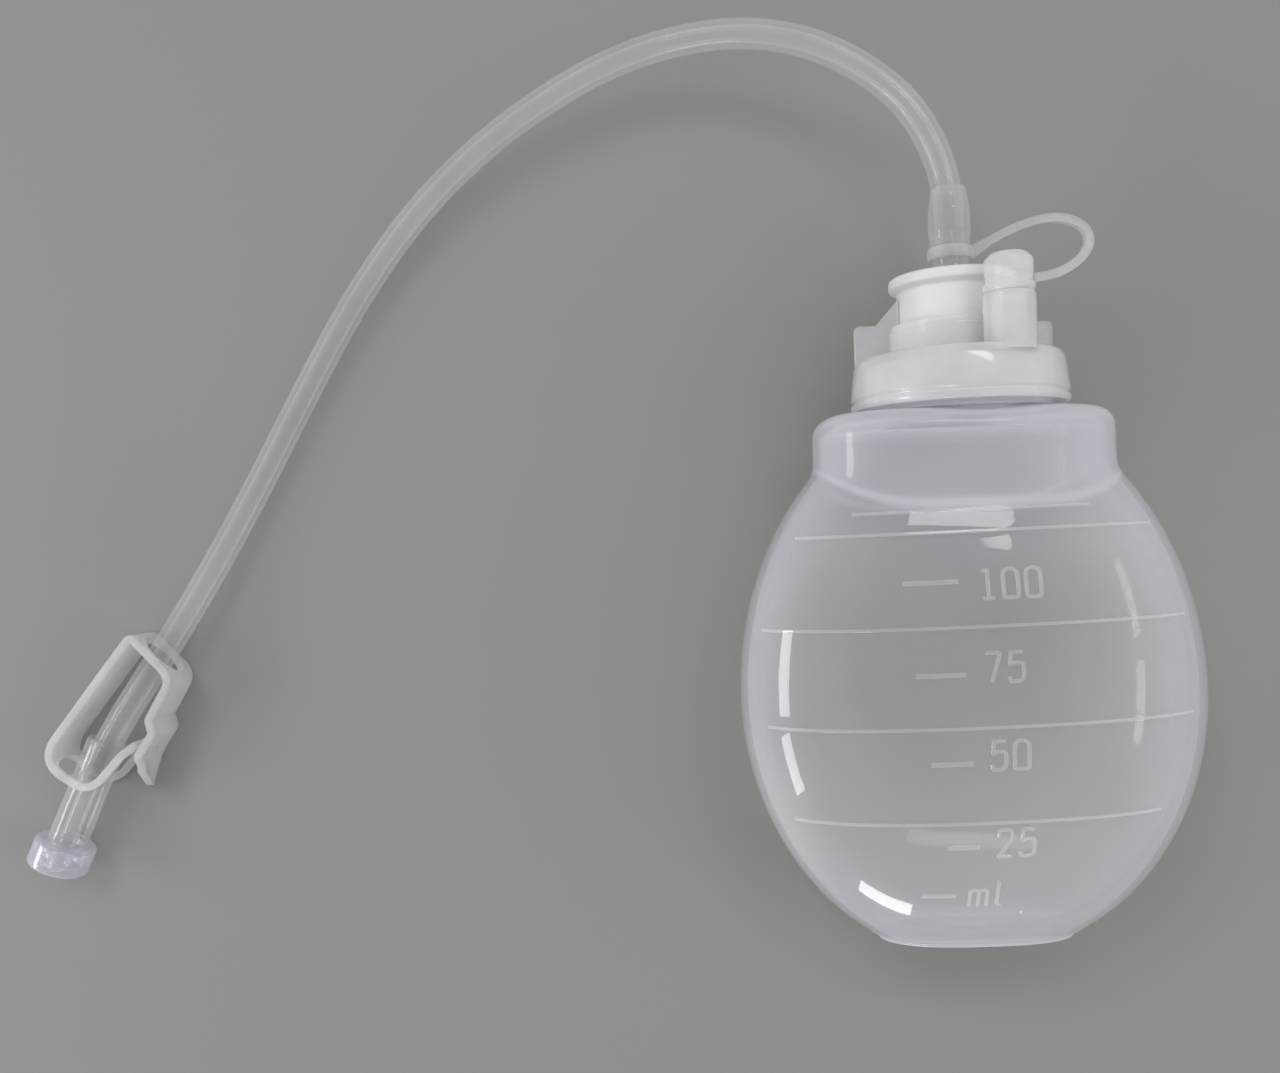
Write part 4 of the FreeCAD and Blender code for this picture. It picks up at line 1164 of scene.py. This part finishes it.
@dataclass
class DrainTube:
    """The clear tube, a hollow run along one smooth line from the sleeve to the connector."""

    radius: float = 2.5
    bore: float = 1.55
    length: float = 0.239
    exit: tuple[float, float, float] = (0.0, 62.15, 18.0)
    route: tuple[tuple[float, float, float], ...] = (
        (0.0, 55.15, 18.0), (0.0, 61.85, 18.0), (-2.0, 69.0, 18.2), (-5.8, 75.8, 18.5),
        (-11.2, 81.2, 18.3), (-17.9, 85.8, 17.7), (-25.6, 89.2, 16.6), (-34.0, 91.0, 15.1),
        (-42.9, 91.0, 13.4), (-52.4, 89.4, 11.5), (-62.9, 85.8, 9.4), (-78.0, 77.4, 6.7),
        (-92.2, 65.3, 4.4), (-104.2, 49.7, 3.2), (-114.4, 32.0, 2.7), (-123.7, 14.8, 2.8),
        (-132.3, -0.5, 3.8), (-141.4, -15.1, 5.03), (-150.4, -28.3, 5.08),
        (-153.6, -35.63, 5.18))
    rings: int = 260
    around: int = 40

    def build(self) -> tuple[bpy.types.Object, np.ndarray]:
        """The tube's outer and inner walls: rings of radius R and r square to the line, joined
        at both ends, with a UV map that runs along it.

        Returns:
            The tube and the line that it follows, in metres.
        """
        path = smooth_line(list(self.route), self.rings)
        level, third = path_frame(path)
        turn = 2 * np.pi * np.arange(self.around) / self.around
        spoke = (level[:, None] * np.cos(turn)[None, :, None]
                 + third[:, None] * np.sin(turn)[None, :, None])
        outer = path[:, None] + self.radius * spoke
        inner = path[:, None] + self.bore * spoke
        points = np.concatenate([outer, inner[::-1], outer[:1]])
        piece = make_piece("drain_tube_clear", points, grid_faces(len(points), self.around, True))
        self._map(piece, path, level, third)
        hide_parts("drain_tube")
        dress(piece, TUBE.material(), Slot.TUBE)
        return piece, path * MM

    def _map(self, piece: bpy.types.Object, path: np.ndarray, level: np.ndarray,
             third: np.ndarray) -> None:
        """Write each corner's distance along the line and turn about it into a UV map.

        Args:
            piece: the tube.
            path: points of its line, in millimetres.
            level: the level directions along it.
            third: the directions square to those.
        """
        mesh = piece.data
        spots = np.zeros(len(mesh.vertices) * 3, np.float32)
        mesh.vertices.foreach_get("co", spots)
        spots = spots.reshape(-1, 3).astype(float) / MM
        near = np.argmin(((spots[:, None] - path[None]) ** 2).sum(-1), 1)
        away = spots - path[near]
        turn = np.arctan2((away * third[near]).sum(-1), (away * level[near]).sum(-1))
        corner = np.zeros(len(mesh.loops), np.int32)
        mesh.loops.foreach_get("vertex_index", corner)
        track = mesh.uv_layers.new(name="along")
        values = np.stack([near[corner] / len(path), turn[corner] / (2 * np.pi)], -1)
        track.data.foreach_set("uv", values.astype(np.float32).ravel())

    def declare(self, piece: bpy.types.Object, line: np.ndarray) -> None:
        """Work out the tube's exit in metres, and keep nothing of it.

        Args:
            piece: the tube; not used.
            line: the points that it follows, in metres; not used.
        """
        tuple(value * MM for value in self.exit)


# Clamp

@dataclass
class PinchClamp:
    """One bent strip: spine, slotted bend, end wall, latch wall, and the arm beyond the bend."""

    top: tuple[float, float, float] = (-138.795, -11.280, 5.016)
    up: tuple[float, float, float] = (0.5633341, 0.8262233, -0.0031296)
    across: tuple[float, float, float] = (-0.0198657, 0.0173313, 0.9996524)
    width: float = 9.4
    thick: float = 1.35
    slot_half: float = 3.85
    slot_left: float = -5.1
    slot_round: float = 1.4
    arm_slot_top: float = 18.8
    hole: float = 3.85
    hinge_out: float = -1.8
    latch_slant: float = 2.6
    columns: int = 6
    bend: tuple[tuple[float, float, float], ...] = (
        (6.0, 16.8, 0), (4.9, 19.8, 2.0), (3.7, 28.4, 4.2), (-6.9, 28.4, 5.4), (-5.2, 1.4, 0.9),
        (4.9, 3.6, 3.2), (5.6, 11.9, 0.8), (7.4, 13.5, 0.8), (7.5, 18.6, 4.0), (9.5, 22.6, 0))

    def _path(self) -> np.ndarray:
        """The whole strip's line from the arm's tip to the latch, in even steps.

        Returns:
            Its stations, out from the tube and down from the clamp's top.
        """
        rough = softened(list(self.bend), 14)
        run = np.r_[0, np.cumsum(np.linalg.norm(np.diff(rough, axis=0), axis=1))]
        even = np.linspace(0, run[-1], int(run[-1] / 0.3))
        return np.stack([np.interp(even, run, rough[:, k]) for k in (0, 1)], -1)

    def _opening(self, path: np.ndarray) -> np.ndarray:
        """Half width of the opening at each station: the round hole in the end wall, and the
        slot, which closes in an ellipse on the spine and on the arm.

        Args:
            path: the stations, out from the tube and down from the clamp's top.

        Returns:
            Half widths, nothing where the strip is whole.
        """
        out, down = path[:, 0], path[:, 1]
        hole = np.sqrt(np.maximum(self.hole ** 2 - out ** 2, 0)) * (down < 5.0)
        left = np.clip((out - self.slot_left) / self.slot_round, 0, 1)
        left = left * ((down > 22.0) | (out > 0))
        right = np.clip((down - self.arm_slot_top) / self.slot_round, 0, 1)
        right = np.where(out > 0, right * (out < 5.8) * (down > 15), 1.0)
        share = 1 - np.minimum(left, right)
        slot = self.slot_half * np.sqrt(np.maximum(1 - share ** 2, 0))
        return np.maximum(hole, slot)

    def _strip(self, name: str, path: np.ndarray) -> bpy.types.Object:
        """A part of the strip, with its slot and hole.

        Each station has a row of columns from each edge to the opening's half width there, which
        is nothing where the strip is whole. The latch's end is cut at a slant. Solidify gives the
        sheet its thickness and Bevel its soft edges.

        Args:
            name: the piece's name.
            path: its stations.

        Returns:
            The strip's object.
        """
        opening = self._opening(path)
        half, count = 0.5 * self.width, self.columns
        left = -half + (half - opening[:, None]) * np.linspace(0, 1, count)
        columns = np.concatenate([left, -left[:, ::-1]], 1)
        up, across = unit(np.array(self.up)), unit(np.array(self.across))
        right = np.cross(up, across)
        points = (np.array(self.top) + right * path[:, 0, None, None]
                  - up * path[:, 1, None, None] + across * columns[..., None])
        late = ease((path[:, 1] - 17.5) / 5.0) * (path[:, 0] > 6.5)
        points = points + up * (late[:, None] * columns / half * self.latch_slant)[..., None]
        faces = grid_faces(len(path), 2 * count, False)
        row = faces[:, 0] // (2 * count)
        open_here = (faces[:, 0] % (2 * count) == count - 1) & (opening[row] + opening[row + 1] > 0)
        piece = make_piece(name, points, faces[~open_here], 40.0, outwards=False)
        solid = piece.modifiers.new("wall", "SOLIDIFY")
        solid.thickness = self.thick * MM
        solid.offset = 0.0
        soft = piece.modifiers.new("edges", "BEVEL")
        soft.width = 0.25 * MM
        soft.segments = 2
        soft.limit_method = "ANGLE"
        soft.angle_limit = math.radians(50)
        return piece

    def build(self) -> list[bpy.types.Object]:
        """The frame and the arm, which meet at the living hinge.

        Returns:
            The two pieces.
        """
        path = self._path()
        hinge = int(np.argmin(np.abs(path[:, 0] - self.hinge_out) + 100 * (path[:, 1] < 26)))
        frame = self._strip("clamp_strip", path[hinge:])
        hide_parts("clamp_frame")
        dress(frame, CLAMP.material(), Slot.CLAMP, Body.CLAMP)
        arm = self._strip("clamp_press_arm", path[:hinge + 1])
        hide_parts("clamp_arm")
        dress(arm, CLAMP.material(), Slot.CLAMP, Body.ARM)
        return [frame, arm]


# Connector

@dataclass
class Connector:
    """Hub on the tube's end and the lock collar that turns on it."""

    mouth: tuple[float, float, float] = (-150.4, -28.3, 5.08)
    axis: tuple[float, float, float] = (-0.4003550, -0.9162765, 0.0123821)
    hub_radius: float = 3.45
    hub_length: float = 19.3
    tube_seat: float = 2.51
    seat_depth: float = 8.0
    nose_bore: float = 1.5
    collar_radius: float = 5.3
    collar_length: float = 4.9

    def _turned(self, name: str, corners: list[tuple[float, float, float]],
                count: int = 72) -> bpy.types.Object:
        """A shell turned about the hub's axis, heights measured from the hub's mouth.

        Args:
            name: the piece's name.
            corners: radius, height and rounding of each profile corner.
            count: points round the axis.

        Returns:
            The object.
        """
        profile = softened(corners)
        turn = 2 * np.pi * np.arange(count) / count
        axis = unit(np.array(self.axis))
        level = unit(np.cross(axis, np.array([0.0, 0.0, 1.0])))
        third = np.cross(level, axis)
        spoke = level * np.cos(turn)[:, None] + third * np.sin(turn)[:, None]
        points = (np.array(self.mouth) + axis * profile[:, 1, None, None]
                  + spoke[None] * profile[:, 0, None, None])
        return make_piece(name, points, grid_faces(len(profile), count, True))

    def build(self) -> list[bpy.types.Object]:
        """The hub and the collar.

        Returns:
            The two pieces.
        """
        wide, end, seat, bore = self.hub_radius, self.hub_length, self.tube_seat, self.nose_bore
        hub = self._turned("hub", [
            (2.7, 0.0, 0.1), (wide - 0.2, 0.0, 0.3), (wide, 1.0, 0.5), (wide - 0.1, 9.0, 4.0),
            (wide, end - 0.15, 0.05), (2.72, end - 0.12, 0.05), (2.72, end + 1.12, 0.05),
            (3.25, end + 1.15, 0.05), (2.05, end + 1.9, 0.2), (1.95, end + 5.2, 0.15),
            (bore, end + 5.2, 0.1), (bore, self.seat_depth, 0.1), (seat, self.seat_depth, 0.1),
            (seat, 3.2, 0.1), (2.7, 0.0, 0.1)])
        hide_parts("connector_hub")
        dress(hub, CLEAR.material(), Slot.CLEAR)
        big, long = self.collar_radius, self.collar_length
        collar = self._turned("collar", [
            (2.8, end + 0.02, 0.05), (big - 0.5, end, 0.3), (big, end + 0.5, 0.4),
            (big, end + long - 0.4, 0.3), (big - 0.35, end + long, 0.3),
            (big - 1.0, end + long, 0.15), (big - 1.1, end + long - 0.6, 0.1),
            (big - 1.35, end + long - 1.0, 0.2),
            (big - 1.1, end + long - 1.5, 0.2), (big - 1.35, end + long - 2.4, 0.2),
            (big - 1.1, end + 1.6, 0.2), (big - 1.1, end + 1.0, 0.1), (2.8, end + 1.0, 0.05),
            (2.8, end + 0.02, 0.05)])
        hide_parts("lock_collar")
        dress(collar, COLLAR.material(), Slot.COLLAR, Body.COLLAR)
        return [hub, collar]


# Room

@dataclass
class Room:
    """Floor, lamps and camera."""

    floor_tone: tuple[float, float, float] = (0.295, 0.292, 0.282)
    camera_at: tuple[float, float, float] = (-53.6, 5.41, 203.0)
    camera_turn: float = -1.8
    lens: float = 30.94
    sky_light: float = 0.34
    lamps: tuple[tuple[str, tuple[float, float, float], tuple[float, float], float, bool], ...] = (
        ("key", (-390.0, 495.0, 780.0), (340.0, 340.0), 2.45, False),
        ("fill", (420.0, -80.0, 330.0), (320.0, 320.0), 0.6, False),
        ("window_far", (-570.0, -20.0, 205.0), (234.0, 120.0), 0.75, True),
        ("window_near", (-570.0, -300.0, 205.0), (203.0, 120.0), 0.62, True),
        ("top", (85.0, 310.0, 540.0), (270.0, 60.0), 0.32, True),
        ("overhead", (139.0, 40.0, 480.0), (420.0, 220.0), 0.3, False),
        ("low_window", (-110.0, -560.0, 120.0), (180.0, 90.0), 0.48, True))

    def build(self) -> None:
        """Make the floor, the lamps, the world and the camera."""
        self._floor()
        for lamp in self.lamps:
            self._lamp(*lamp)
        world = bpy.data.worlds.new("studio")
        world.use_nodes = True
        world.node_tree.nodes["Background"].inputs["Color"].default_value = (1.0, 1.0, 1.0, 1.0)
        world.node_tree.nodes["Background"].inputs["Strength"].default_value = self.sky_light
        bpy.context.scene.world = world
        camera = bpy.data.cameras.new("camera")
        camera.lens, camera.sensor_width, camera.sensor_fit = self.lens, 36.0, "HORIZONTAL"
        camera.clip_start = 0.005
        holder = bpy.data.objects.new("camera", camera)
        holder.location = Vector(self.camera_at) * MM
        holder.rotation_euler = (0.0, 0.0, math.radians(self.camera_turn))
        bpy.context.scene.collection.objects.link(holder)
        bpy.context.scene.camera = holder

    def _floor(self) -> None:
        """A plain pale floor."""
        mesh = bpy.data.meshes.new("floor")
        side = 3.0
        mesh.from_pydata([(-side, -side, 0), (side, -side, 0), (side, side, 0), (-side, side, 0)],
                         [], [(0, 1, 2, 3)])
        floor = bpy.data.objects.new("floor", mesh)
        floor.location.z = -0.00005
        bpy.context.scene.collection.objects.link(floor)
        material = bpy.data.materials.new("floor_paper")
        material.use_nodes = True
        shader = material.node_tree.nodes["Principled BSDF"]
        shader.inputs["Base Color"].default_value = (*self.floor_tone, 1.0)
        shader.inputs["Roughness"].default_value = 0.8
        shader.inputs["Specular IOR Level"].default_value = 0.2
        mesh.materials.append(material)

    def _lamp(self, name: str, at: tuple[float, float, float], size: tuple[float, float],
              power: float, mirrored: bool) -> None:
        """A rectangular lamp that faces the object.

        Args:
            name: its name.
            at: its place.
            size: its width and height.
            power: its power in watts.
            mirrored: whether glossy surfaces show it.
        """
        light = bpy.data.lights.new(name, "AREA")
        light.shape = "RECTANGLE"
        light.size, light.size_y = size[0] * MM, size[1] * MM
        light.energy = power
        lamp = bpy.data.objects.new(name, light)
        lamp.location = Vector(at) * MM
        lamp.visible_glossy = mirrored
        aim = Vector((-0.03, 0.0, 0.02)) - lamp.location
        lamp.rotation_euler = aim.to_track_quat("-Z", "Y").to_euler()
        bpy.context.scene.collection.objects.link(lamp)


def main() -> None:
    """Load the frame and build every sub-assembly."""
    logging.basicConfig(level=logging.INFO, format="%(name)s: %(message)s")
    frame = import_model()
    scene = bpy.context.scene
    scene.view_settings.view_transform = "Standard"
    Room().build()
    tube = DrainTube()
    tube_piece, line = tube.build()
    bulb = Bulb()
    bulb.build()
    Graduations(bulb).build()
    Cap().build()
    dress(frame["nodes"]["inlet_valve"], VALVE.material(), Slot.VALVE, None)
    Inlet().dress_all()
    Outlet().dress_all()
    on_tube = PinchClamp().build() + Connector().build()
    tube.declare(tube_piece, line)


if __name__ == "__main__":
    main()
